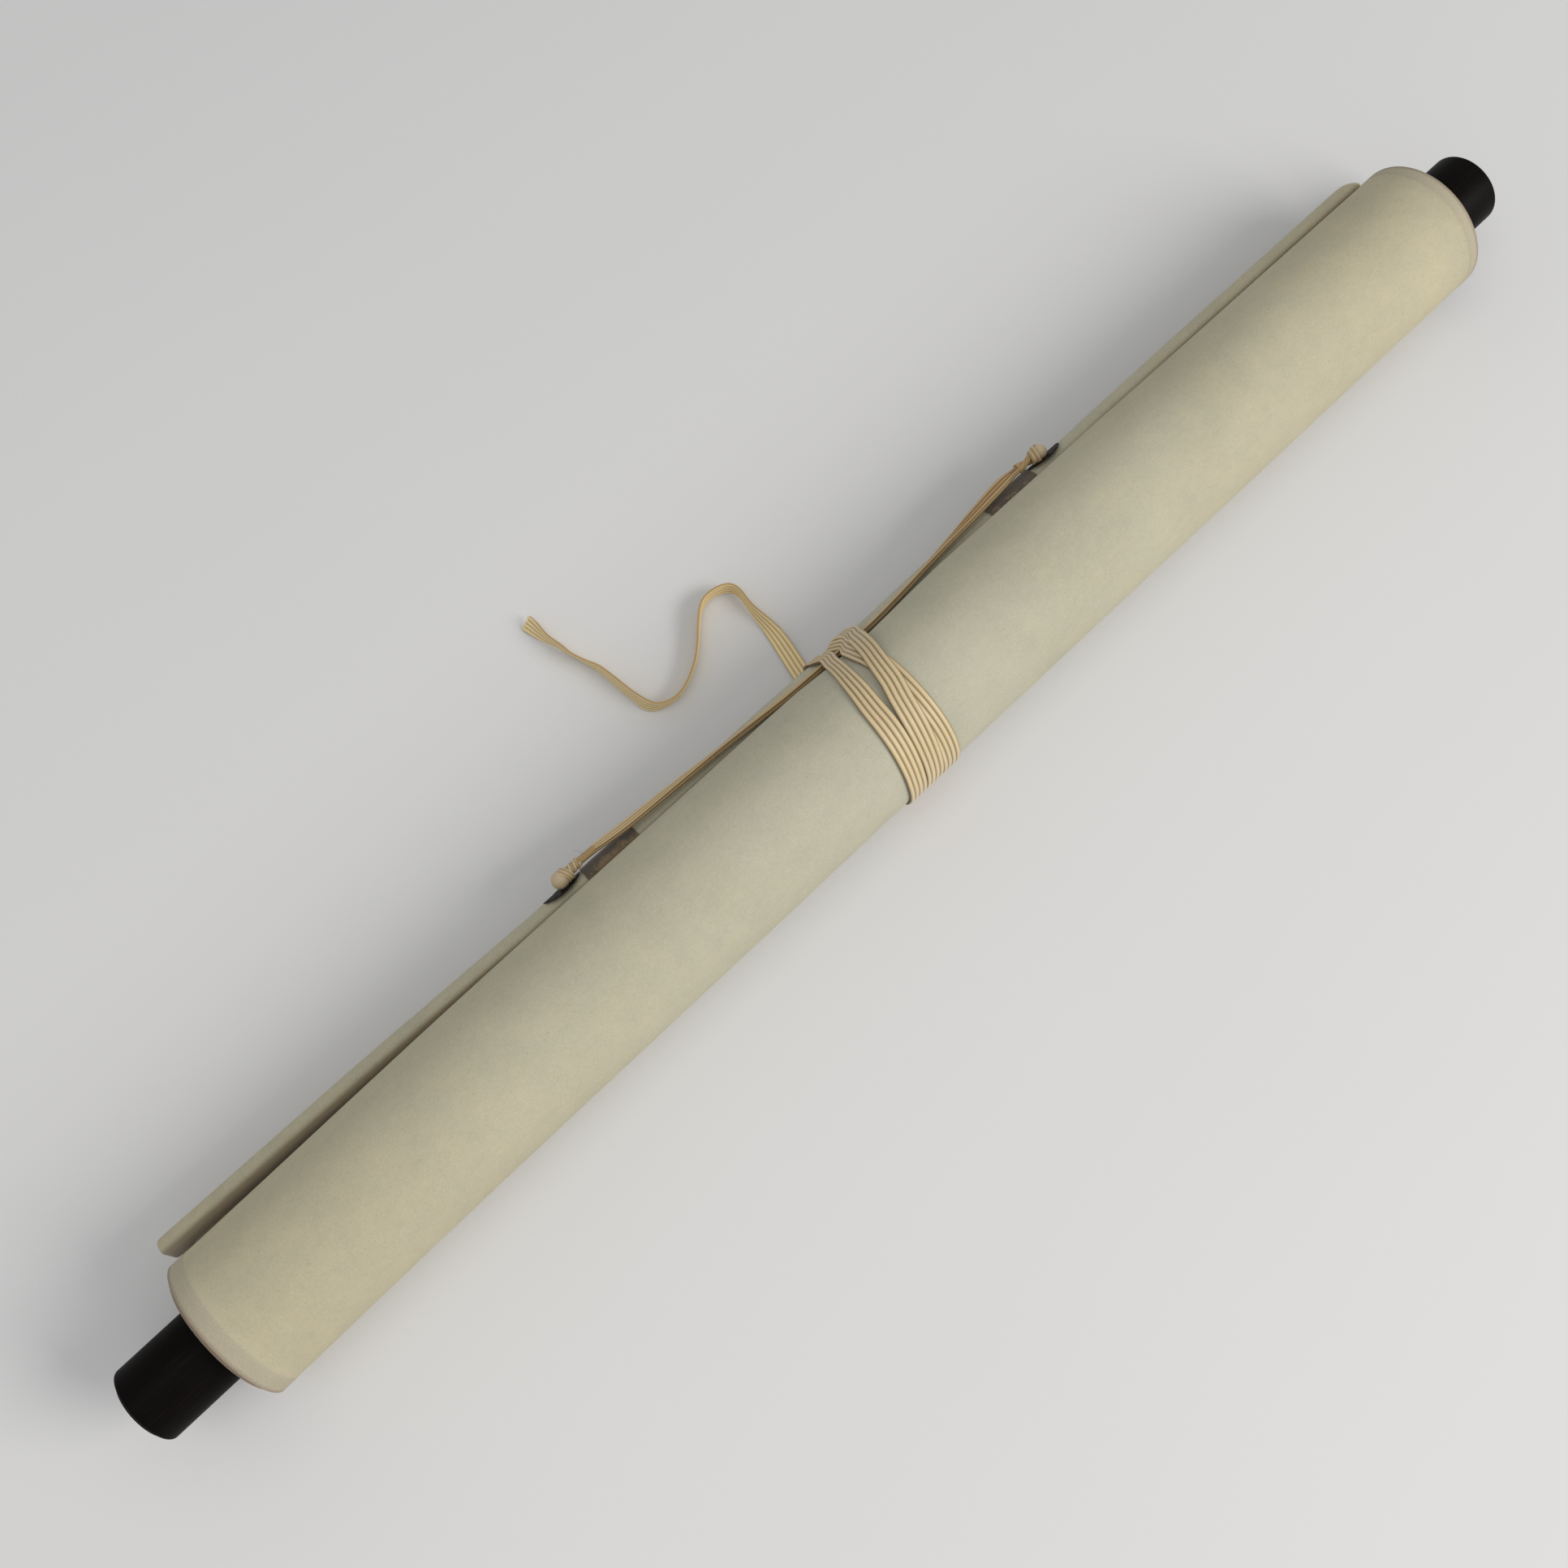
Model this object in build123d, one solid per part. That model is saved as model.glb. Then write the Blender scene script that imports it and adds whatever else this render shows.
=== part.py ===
from build123d import *
import os
from math import cos, pi, radians, sin, sqrt, tan

# A picture scroll, rolled up and tied, lying on a table.
# Millimetres. +X runs along the roller, +Y points to the side where the top batten lies,
# +Z is up. The origin is on the table, under the middle of the roller's axis.

# The sheet: paper backing and silk face, pasted together, wound round the roller.
sheet_width = 545.0  # along the roller
sheet_thick = 0.5
turn_count = 18  # whole turns on the roller
front_gap = 0.27  # air between turns on the -Y side
back_gap = 0.44  # air between turns on the batten's side, where the roll is looser
flat_spot = 5.0  # width that the outermost turn is pressed flat on the table
pocket_end = 1.0  # folded hem that closes each end of the batten's pocket

# The roller and its end knobs.
roller_dia = 21.0
tenon_dia = 12.0
tenon_length = 15.0
knob_dia = 27.0
knob_length = 30.5
knob_edge = 1.6  # rounding of the outer rim
boss_dia = 22.6  # raised disc on the knob's end
boss_height = 1.0
boss_edge = 0.6
socket_play = 0.05  # between tenon and socket, all round
socket_bottom = 1.0  # glue space past the tenon's end

# The half-round batten in the sheet's free end.
batten_radius = 5.5
batten_corner = 0.8
batten_lean = 12.6  # degrees that its top edge leans away from the roll
flap_gap = 0.6  # between the roll and the pocket's flat face
pocket_play = 0.05  # between the batten and its pocket, at the ends
pocket_lap = 2.0  # the sheet's last stretch runs this far up the pocket's flat face

# The two eyelets in the batten, each with a petal-edged washer.
eyelet_spacing = 221.0
eyelet_shift = 2.6  # the pair sits this far to the +X side of the middle
eyelet_angle = 25.0  # degrees from the middle of the round side to the top edge
eye_radius = 2.8  # ring, to the middle of its wire
eye_wire = 1.2
shank_dia = 1.6
shank_depth = 4.5  # into the wood
washer_radius = 7.9
washer_thick = 0.4
petal_count = 14
petal_depth = 0.9

# The two brocade wind bands, wrapped over the batten beside the eyelets.
wind_band_width = 22.0
wind_band_thick = 0.4
wind_band_play = 0.05
wind_band_reach = 22.0  # degrees above the round side's middle where each one ends

# The hanging cord: a flat doubled braid, tied to both eyelets and pulled tight.
hanging_width = 4.6
hanging_thick = 2.2
hanging_angle = 70.0  # where the ties press it on the batten, degrees from the middle
knot_radius = 3.35
knot_angle = 56.5
cord_play = 0.1

# The wrapping cord: a flat ribbed ribbon, three turns side by side, then a free tail.
ribbon_width = 7.0
ribbon_thick = 0.9
ribbon_turns = 3
ribbon_slack = 2.0  # the turns spread a little
wrap_middle = 9.6  # X of the turns above the roller's axis
wrap_slant = 9.2  # degrees that the turns run aslant
wrap_play = 0.1
tail_route = [
    (3.5, 19.3), (4.4, 37.0), (7.0, 55.0), (9.6, 72.5), (3.6, 80.8), (-5.0, 79.0),
    (-15.0, 69.5), (-26.0, 62.2), (-38.0, 60.2), (-44.2, 67.5), (-43.9, 80.0),
    (-47.2, 92.0), (-50.3, 104.0), (-53.3, 116.0),
]

# How the solids are made.
past = 1.0  # a cutting solid reaches this far past what it cuts
arc_share = 0.45  # share of the shorter run beside a cord's bend that its arc takes

# Worked out from the sizes above.
half_sheet = sheet_width / 2
wrap_width = ribbon_turns * ribbon_width + ribbon_slack
wrap_lift = ribbon_thick + wrap_play  # the roll lies on the ribbon
front_pitch = sheet_thick + front_gap
back_pitch = sheet_thick + back_gap
first_turn = roller_dia / 2 + socket_play + sheet_thick / 2
eyelet_places = [eyelet_shift - eyelet_spacing / 2, eyelet_shift + eyelet_spacing / 2]
washer_skin = batten_radius + sheet_thick + washer_thick


def front_edge(turn):
    """Distance of a turn's middle from the roller's axis, on the -Y side."""
    return first_turn + (turn + 0.5) * front_pitch


def back_edge(turn):
    """Distance of a turn's middle from the roller's axis, on the +Y side."""
    return first_turn + turn * back_pitch


def flat_under(turn):
    """Length of the flat stretch at the bottom of a turn."""
    return flat_spot * (turn + 1) / turn_count


def bottom_radius(turn):
    """Radius of the two round stretches beside that flat one."""
    return (front_edge(turn) + back_edge(turn + 1) - flat_under(turn)) / 2


last = turn_count - 1
floor_line = wrap_lift + sheet_thick / 2  # middle of the sheet where it lies on the table
axis_height = floor_line + bottom_radius(last)

# The pocket's flat face stands off the roll, on a line through the last whole turn.
lean = radians(batten_lean)
out_dir = (cos(lean), -sin(lean))
up_dir = (sin(lean), cos(lean))
rest_centre = back_edge(last) - bottom_radius(last - 1)
rest_radius = bottom_radius(last - 1) + sheet_thick / 2 + flap_gap
face_y = rest_centre + rest_radius * out_dir[0]
face_z = axis_height + rest_radius * out_dir[1]

# Batten frame: local x out of its flat side, local y up along it, local z along +X.
batten_plane = Plane(
    origin=(0, face_y + sheet_thick * out_dir[0], face_z + sheet_thick * out_dir[1]),
    x_dir=(0, out_dir[0], out_dir[1]),
    z_dir=(1, 0, 0),
)


def polar(radius, angle):
    """A point round the middle of the batten's flat side, in the batten frame."""
    return (radius * cos(radians(angle)), radius * sin(radians(angle)))


def arc(centre, radius, start, end):
    return ("arc", centre, radius, start, end)


def line(start, end):
    return ("line", start, end)


def turn_path(turn):
    """One turn of the sheet's middle line: over the top, down the front, along the table."""
    front, back = front_edge(turn), back_edge(turn)
    low, flat = bottom_radius(turn), flat_under(turn)
    bottom = axis_height - low
    return [
        arc(((back - front) / 2, axis_height), (back + front) / 2, 0, 180),
        arc((low - front, axis_height), low, 180, 270),
        line((low - front, bottom), (low - front + flat, bottom)),
        arc((low - front + flat, axis_height), low, 270, 360),
    ]


def flap_path():
    """The last stretch: along the table, then up to the foot of the batten's pocket."""
    front, back, low = front_edge(last), back_edge(last), bottom_radius(last)
    turned = radians(90 - batten_lean)
    foot = -(batten_radius - batten_corner)
    foot_y = face_y + sheet_thick / 2 * out_dir[0] + foot * up_dir[0]
    foot_z = face_z + sheet_thick / 2 * out_dir[1] + foot * up_dir[1]
    rise = (foot_z - floor_line) / (1 - cos(turned))
    start_y = foot_y - rise * sin(turned)
    return [
        arc(((back - front) / 2, axis_height), (back + front) / 2, 0, 180),
        arc((low - front, axis_height), low, 180, 270),
        line((low - front, floor_line), (start_y, floor_line)),
        arc((start_y, floor_line + rise), rise, 270, 360 - batten_lean),
        line((foot_y, foot_z), (foot_y + pocket_lap * up_dir[0], foot_z + pocket_lap * up_dir[1])),
    ]


def shifted(piece, offset):
    """A stretch of the middle line, moved out of the roll by an offset."""
    if piece[0] == "arc":
        _, centre, radius, start, end = piece
        return CenterArc(centre, radius + offset, start, end - start)
    _, start, end = piece
    dx, dy = end[0] - start[0], end[1] - start[1]
    size = sqrt(dx * dx + dy * dy)
    ox, oy = offset * dy / size, -offset * dx / size
    return Line((start[0] + ox, start[1] + oy), (end[0] + ox, end[1] + oy))


def strip_face(path):
    """The sheet's section: its middle line, thickened to both sides."""
    outside = [shifted(piece, sheet_thick / 2) for piece in path]
    inside = [shifted(piece, -sheet_thick / 2) for piece in path]
    ends = [Line(outside[0] @ 0, inside[0] @ 0), Line(outside[-1] @ 1, inside[-1] @ 1)]
    return make_face(outside + inside + ends)


def batten_section(grow=0.0):
    """Half-round section of the batten in its own frame, grown outwards by an amount."""
    disc = Pos(0, 0) * Circle(batten_radius)
    half = disc & (Pos(batten_radius, 0) * Rectangle(2 * batten_radius, 4 * batten_radius))
    half = fillet(half.vertices(), batten_corner)
    return offset(half, grow) if grow else half


def along(face, length, plane=batten_plane):
    """A section in a plane, drawn out to both sides of it along X."""
    return extrude(plane * face, length / 2, both=True)


def scroll_sheet():
    path = []
    for turn in range(last):
        path += turn_path(turn)
    path += flap_path()
    roll = along(strip_face(path), sheet_width, Plane.YZ)
    pocket = along(batten_section(sheet_thick) - batten_section(), sheet_width)
    hem = along(batten_section(), pocket_end)
    sheet = roll + pocket
    for side in (-1, 1):
        sheet += Pos(side * (half_sheet - pocket_end / 2), 0, 0) * hem
    for place in eyelet_places:
        sheet -= eyelet_hole(place)
    return sheet


def roller_rod():
    rod = Cylinder(roller_dia / 2, sheet_width)
    tenons = Cylinder(tenon_dia / 2, sheet_width + 2 * tenon_length)
    return Pos(0, 0, axis_height) * Rot(0, 90, 0) * (rod + tenons)


def roller_knob(side):
    """Turned knob with a blind socket and a raised disc on its end."""
    rim = knob_length - boss_height
    body = Pos(0, 0, rim / 2) * Cylinder(knob_dia / 2, rim)
    body = fillet(body.edges().group_by(Axis.Z)[-1], knob_edge)
    body += Pos(0, 0, rim + boss_height / 2) * Cylinder(boss_dia / 2, boss_height)
    body = fillet(body.edges().group_by(Axis.Z)[-1], boss_edge)
    depth = tenon_length + socket_bottom
    body -= Pos(0, 0, depth / 2) * Cylinder(tenon_dia / 2 + socket_play, depth)
    return Pos(side * half_sheet, 0, axis_height) * Rot(0, side * 90, 0) * body


def top_batten():
    length = sheet_width - 2 * (pocket_end + pocket_play)
    batten = along(batten_section(), length)
    for place in eyelet_places:
        batten -= eyelet_hole(place)
    return batten


def eyelet_plane(place):
    """Frame of an eyelet: local z out of the batten, local x along the roller."""
    out = polar(1, eyelet_angle)
    tilt = batten_plane.from_local_coords(Vector(out[0], out[1], 0)) - batten_plane.origin
    return Plane(origin=batten_plane.origin + Vector(place, 0, 0), x_dir=(1, 0, 0), z_dir=tilt)


def eyelet_hole(place):
    deep = batten_radius - shank_depth
    reach = washer_skin - deep + past
    return eyelet_plane(place) * Pos(0, 0, deep + reach / 2) * Cylinder(shank_dia / 2, reach)


def eyelet(place):
    """A ring on a shank that is driven into the batten."""
    deep = batten_radius - shank_depth
    ring_height = washer_skin + eye_radius + eye_wire / 2
    shank_length = ring_height - eye_radius - deep
    ring = Pos(0, 0, ring_height) * Rot(0, 90, 0) * Torus(eye_radius, eye_wire / 2)
    shank = Pos(0, 0, deep + shank_length / 2) * Cylinder(shank_dia / 2, shank_length)
    return eyelet_plane(place) * (ring + shank)


def petal_outline():
    """Round plate with petals, narrower across because it is bent round the batten."""
    across = washer_skin * sin(washer_radius / washer_skin) - petal_depth
    core = washer_radius - petal_depth
    outline = Ellipse(core, across)
    petal = Circle(2 * petal_depth)
    for index in range(petal_count):
        angle = 2 * pi / petal_count * index
        spot = Pos((core - petal_depth) * cos(angle), (across - petal_depth) * sin(angle))
        outline += spot * petal
    return outline


def eyelet_washer(place):
    """Petal-edged plate, bent to lie round the batten's pocket."""
    inner = batten_radius + sheet_thick
    shell = Circle(washer_skin) - Circle(inner)
    shell &= Pos(washer_skin, 0) * Rectangle(2 * washer_skin, 4 * washer_skin)
    curved = Pos(place, 0, 0) * along(shell, 2 * (washer_radius + past))
    plate = eyelet_plane(place) * extrude(petal_outline(), washer_skin + past)
    return (curved & plate) - eyelet_hole(place)


def wind_band(place):
    """Brocade strip over the batten's top edge and down its flat side."""
    under = sheet_thick + wind_band_play
    ring = batten_section(under + wind_band_thick) - batten_section(under)
    reach = batten_radius + under + wind_band_thick
    edge = polar(reach + past, wind_band_reach)
    side, low = 2 * past, 2 * reach
    below = Polyline((-side, -reach), edge, (edge[0] + side, -low), (-side, -low), close=True)
    inward = 1 if place < eyelet_shift else -1
    middle = place + inward * (washer_radius + wind_band_play + wind_band_width / 2)
    return Pos(middle, 0, 0) * along(ring - make_face(below), wind_band_width)


def hanging_section():
    return SlotOverall(hanging_width, hanging_thick)


def hanging_point(angle, lift):
    """A point at a height over the pocket's round skin, in the part's frame."""
    spot = polar(batten_radius + sheet_thick + lift, angle)
    return batten_plane.from_local_coords(Vector(spot[0], spot[1], 0))


def knot_centre(place):
    return hanging_point(knot_angle, washer_thick + wrap_play + knot_radius) + Vector(place, 0, 0)


def hanging_knot(place):
    """Outer shape of the knot that holds the cord on an eyelet's ring."""
    return Pos(*knot_centre(place)) * Sphere(knot_radius) - eyelet(place)


def hanging_cord():
    """Tight between the knots, pressed to the batten where the ties cross it."""
    pressed = hanging_point(hanging_angle, cord_play + hanging_thick / 2)
    half_wrap = wrap_width / 2 + hanging_width
    wrap_x = wrap_middle + pressed.Y * tan(radians(wrap_slant))
    left, right = [knot_centre(place) for place in eyelet_places]
    points = [
        left,
        Vector(wrap_x - half_wrap, pressed.Y, pressed.Z),
        Vector(wrap_x + half_wrap, pressed.Y, pressed.Z),
        right,
    ]
    path = rounded_route(points)
    start = Plane(origin=path @ 0, z_dir=path % 0, x_dir=hanging_normal().cross(path % 0))
    cord = sweep(start * hanging_section(), path=path)
    for place in eyelet_places:
        cord -= Pos(*knot_centre(place)) * Sphere(knot_radius)
    return cord


def hanging_normal():
    """Direction out of the pocket's skin where the ties press the cord on it."""
    spot = polar(1, hanging_angle)
    return batten_plane.from_local_coords(Vector(spot[0], spot[1], 0)) - batten_plane.origin


def rounded_route(points):
    """Straight runs joined by tangent arcs, as large as the shorter run allows."""
    radii = []
    for before, here, after in zip(points, points[1:], points[2:]):
        turned = (here - before).get_angle(after - here)
        shorter = min((here - before).length, (after - here).length)
        radii.append(arc_share * shorter / tan(radians(turned) / 2))
    return FilletPolyline(*points, radius=radii)


def wrapped_outline():
    """Tight outline round the roll, the batten's pocket and the hanging cord."""
    skin = [shifted(piece, sheet_thick / 2) for piece in flap_path()[:4]]
    pocket = Plane.YZ.to_local_coords(batten_plane * batten_section(sheet_thick))
    spot = polar(batten_radius + sheet_thick + cord_play + hanging_thick / 2, hanging_angle)
    cord = Pos(*spot) * Rot(0, 0, hanging_angle + 90) * hanging_section()
    cord = Plane.YZ.to_local_coords(batten_plane * cord)
    return make_hull(skin + list(pocket.edges()) + list(cord.edges()))


def wrapping_cord_turns():
    """Outer shape of the ribbon's turns: one closed band, run aslant."""
    outline = wrapped_outline()
    ring = offset(outline, wrap_play + ribbon_thick) - offset(outline, wrap_play)
    reach = wrap_width + 4 * batten_radius
    tube = Pos(wrap_middle, 0, 0) * along(ring, 2 * reach, Plane.YZ)
    slab = Box(wrap_width, 4 * reach, 4 * reach)
    return tube & (Pos(wrap_middle, 0, 0) * Rot(0, 0, -wrap_slant) * slab)


def wrapping_cord_tail(turns):
    """Free end on the table, as a round cord with the ribbon's own section area."""
    dia = sqrt(4 / pi * ribbon_width * ribbon_thick)
    path = rounded_route([Vector(x, y, dia / 2) for x, y in tail_route])
    start = Plane(origin=path @ 0, z_dir=path % 0)
    tube = sweep(start * Circle(dia / 2), path=path)
    return tube - turns


def model():
    turns = wrapping_cord_turns()
    parts = {
        "scroll_sheet": scroll_sheet(),
        "roller_rod": roller_rod(),
        "roller_knob_left": roller_knob(-1),
        "roller_knob_right": roller_knob(1),
        "top_batten": top_batten(),
        "hanging_cord": hanging_cord(),
        "wrapping_cord_turns": turns,
        "wrapping_cord_tail": wrapping_cord_tail(turns),
    }
    for name, place in zip(("left", "right"), eyelet_places):
        parts["eyelet_" + name] = eyelet(place)
        parts["eyelet_washer_" + name] = eyelet_washer(place)
        parts["wind_band_" + name] = wind_band(place)
        parts["hanging_knot_" + name] = hanging_knot(place)
    return parts


os.makedirs("parts", exist_ok=True)
for name, solid in model().items():
    export_step(solid, f"parts/{name}.step")
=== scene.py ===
from bisect import bisect
from math import atan2, cos, degrees, exp, hypot, pi, radians, sin

import bmesh
import bpy
from mathutils import Matrix, Vector, noise


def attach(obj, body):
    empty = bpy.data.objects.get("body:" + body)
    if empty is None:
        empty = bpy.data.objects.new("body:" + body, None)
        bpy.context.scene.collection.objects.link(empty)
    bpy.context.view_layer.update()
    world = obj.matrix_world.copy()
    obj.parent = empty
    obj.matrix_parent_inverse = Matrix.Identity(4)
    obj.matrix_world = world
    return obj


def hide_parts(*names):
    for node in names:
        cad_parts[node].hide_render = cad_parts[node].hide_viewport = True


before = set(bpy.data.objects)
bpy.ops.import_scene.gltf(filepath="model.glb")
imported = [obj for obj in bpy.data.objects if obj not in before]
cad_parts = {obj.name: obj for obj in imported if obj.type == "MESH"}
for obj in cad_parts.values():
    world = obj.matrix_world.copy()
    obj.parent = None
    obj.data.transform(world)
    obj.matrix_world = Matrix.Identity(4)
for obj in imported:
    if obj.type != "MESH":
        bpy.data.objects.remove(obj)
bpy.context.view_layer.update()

# A rolled and tied hanging scroll on a table, dressed over its CAD parts. Pieces are shaped in
# millimetres and brought to metres when their mesh is finished.
MM = 0.001

# The roll, with the same sizes as its CAD solid.
SHEET_WIDTH = 545.0
SHEET_THICK = 0.5
TURNS = 18
FRONT_GAP = 0.27
BACK_GAP = 0.44
FLAT_SPOT = 5.0
FIRST_TURN = 10.8
FLOOR_LINE = 1.25
HALF_SHEET = SHEET_WIDTH / 2
LEFT_HEM = 6.0
RIGHT_HEM = 4.6
HEM_STEP = 0.12
HEM_RAMP = 0.15
FLAP_END = 0.8

# The end knobs.
KNOB_RADIUS = 13.5
KNOB_LENGTH = 30.5
KNOB_ROUND = 1.2
KNOB_EDGE = 0.4
SOCKET_RADIUS = 6.05
SOCKET_DEPTH = 16.0
BOSS_RADIUS = 11.3
BOSS_HEIGHT = 1.0
BOSS_ROUND = 0.6
# The step at the disc's foot, as its height and width, and the faint ring on the disc, as its
# height and radius.
BOSS_FOOT = (0.08, 0.12)
BOSS_RING = (0.05, 4.0)

# The batten in its pocket. The shoulder is where its rounded corners have their middles, and
# the tilt is the angle at which they run into its round.
BATTEN_RADIUS = 5.5
BATTEN_CORNER = 0.8
BATTEN_HALF = 271.4
BATTEN_GAP = 0.6
BATTEN_SHOULDER = ((BATTEN_RADIUS - BATTEN_CORNER) ** 2 - BATTEN_CORNER**2) ** 0.5
BATTEN_TILT = degrees(atan2(BATTEN_SHOULDER, BATTEN_CORNER))
LEAN = radians(12.6)

# The eyelets with their washers, and the brocade strips beside them.
EYELETS = (-107.9, 115.5)
WASHER_ANGLE = 26.0
WASHER_BEND = 18.0
WASHER_RADIUS = 7.9
WASHER_THICK = 0.25
WASHER_SEAT = 0.72
PETALS = 14
PETAL_DEPTH = 0.75
PETAL_RISE, RIM_DROP = 0.22, 0.12
BEAD_RISE, BEAD_RADIUS = 0.3, 2.2
RING_ANGLE = 42.0
RING_HEIGHT = 8.7
RING_RADIUS = 2.3
RING_WIRE = 0.5
SHANK_WIRE = 0.7
SHANK_BEND = 6.6
BAND_WIDTH = 22.0
BAND_MIDDLES = (-88.8, 96.7)
BAND_THICK = 0.35
BAND_GAP = 0.5
BAND_FOOT = -4.4
BAND_END = 22.0
BAND_LIFT, BAND_WAVE, BAND_CURL, BAND_FRAY = 0.10, 0.16, 0.12, 0.28

# The cords.
RIBBON_WIDTH = 7.4
RIBBON_THICK = 0.9
RIBBON_RIBS = 4
RIBBON_GAP = 0.16
RIBBON_WANDER = 0.12
TAIL_WIDTH = 6.8
HAIRS = 26
HAIR_RADIUS = 0.17
HAIR_REACH, HAIR_VARIES = 1.3, 0.9
BRAID_WIDTH = 3.9
BRAID_THICK = 0.8
BRAID_RIBS = 3
STRAND_RADIUS = 1.12
WHIP_PITCH = 0.26
WHIP_RADIUS = 0.15
THREAD_RADIUS = 0.07
THREAD_PITCH = 0.62


def graded(table, place):
    """A value read off a table of (place, value) rows, curving smoothly between the rows."""
    places = [row[0] for row in table]
    if place <= places[0]:
        return table[0][1]
    if place >= places[-1]:
        return table[-1][1]
    i = bisect(places, place) - 1

    def slope(k):
        a, b = max(k - 1, 0), min(k + 1, len(table) - 1)
        return (table[b][1] - table[a][1]) / (places[b] - places[a])

    span = places[i + 1] - places[i]
    t = (place - places[i]) / span
    start, end = table[i][1], table[i + 1][1]
    return (
        (2 * t**3 - 3 * t**2 + 1) * start
        + (t**3 - 2 * t**2 + t) * span * slope(i)
        + (3 * t**2 - 2 * t**3) * end
        + (t**3 - t**2) * span * slope(i + 1)
    )


# Materials.


class Value:
    """A socket in a material that Python's arithmetic works on."""

    def __init__(self, finish, socket):
        self.finish, self.socket = finish, socket

    def maths(self, operation, *inputs):
        return self.finish.node("Math", dict(enumerate(inputs)), operation=operation)

    def __add__(self, other):
        return self.maths("ADD", self, other)

    def __sub__(self, other):
        return self.maths("SUBTRACT", self, other)

    def __rsub__(self, other):
        return self.maths("SUBTRACT", other, self)

    def __mul__(self, other):
        return self.maths("MULTIPLY", self, other)

    def __truediv__(self, other):
        return self.maths("DIVIDE", self, other)

    def __pow__(self, other):
        return self.maths("POWER", self, other)

    __radd__, __rmul__ = __add__, __mul__

    def wave(self):
        """Sine of this value counted in whole turns, from 0 to 1."""
        return self.maths("SINE", self * (2 * pi)) * 0.5 + 0.5

    def fraction(self):
        return self.maths("FRACT", self)

    def whole(self):
        return self.maths("FLOOR", self)

    def size(self):
        return self.maths("ABSOLUTE", self)

    def above(self, edge, soft):
        """From 0 to 1 as this value passes an edge, over a soft way to both sides of it."""
        return self.finish.node(
            "MapRange", {0: self, 1: edge - soft, 2: edge + soft, 3: 0.0, 4: 1.0}
        )

    def most(self, other):
        return self.maths("MAXIMUM", self, other)


class Finish:
    """A material and its node tree, with one Principled shader."""

    def __init__(self, name, **fixed):
        self.material = bpy.data.materials.new(name)
        self.material.use_nodes = True
        self.tree = self.material.node_tree
        self.shader = self.tree.nodes["Principled BSDF"]
        for key, value in fixed.items():
            self.input(key).default_value = value

    def input(self, key):
        """The shader's socket of a name such as base_color."""
        return self.shader.inputs[key.replace("_", " ").title().replace("Ior", "IOR")]

    def node(self, kind, inputs, out=0, ramp=None, **settings):
        """Adds a node, sets it up, feeds its inputs and gives one of its outputs."""
        made = self.tree.nodes.new("ShaderNode" + kind)
        for key, value in settings.items():
            setattr(made, key, value)
        if ramp:
            stops = made.color_ramp.elements
            while len(stops) < len(ramp):
                stops.new(0.5)
            for stop, (place, colour) in zip(stops, ramp):
                stop.position, stop.color = place, (*colour, 1)
        for key, value in inputs.items():
            self.feed(made.inputs[key], value)
        return Value(self, made.outputs[out])

    def feed(self, socket, value):
        if isinstance(value, Value):
            self.tree.links.new(value.socket, socket)
        elif isinstance(value, tuple) and len(value) == 3 and len(socket.default_value) == 4:
            socket.default_value = (*value, 1)
        else:
            socket.default_value = value

    def place(self, scale=1 / MM):
        """Object coordinates in millimetres, or in another unit."""
        spot = self.node("TexCoord", {}, out="Object")
        return self.node("VectorMath", {0: spot, 3: scale}, operation="SCALE")

    def stretched(self, spot, scale):
        return self.node("VectorMath", {0: spot, 1: scale}, operation="MULTIPLY")

    def attribute(self, name):
        return self.node("Attribute", {}, out="Vector", attribute_name=name)

    def axis(self, spot, axis):
        return self.node("SeparateXYZ", {0: spot}, out=axis)

    def cloud(self, spot, scale, detail=3.0, rough=0.6):
        """Soft noise from 0 to 1; scale is lumps per unit of the spot."""
        return self.node(
            "TexNoise",
            {"Vector": spot, "Scale": scale, "Detail": detail, "Roughness": rough},
        )

    def blend(self, mask, first, second, kind="MIX"):
        return self.node(
            "Mix", {0: mask, 6: first, 7: second}, out=2, data_type="RGBA", blend_type=kind
        )

    def tinted(self, colour, tint):
        return self.blend(1.0, colour, tint, "MULTIPLY")

    def ramp(self, tone, *stops):
        """A colour by tone, from (tone, colour) stops."""
        return self.node("ValToRGB", {0: tone}, ramp=stops)

    def bump(self, height, depth, strength=1.0):
        """Bump from a height of 0 to 1 that stands for a depth in millimetres."""
        return self.node(
            "Bump", {"Height": height, "Distance": depth * MM, "Strength": strength},
            out="Normal",
        )

    def give(self, **inputs):
        for key, value in inputs.items():
            self.feed(self.input(key), value)
        return self.material


# A small yellow stain on the pocket beside the left washer, in millimetres.
STAIN_SPOT = (-116.6, 33.2, 22.5)


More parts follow.
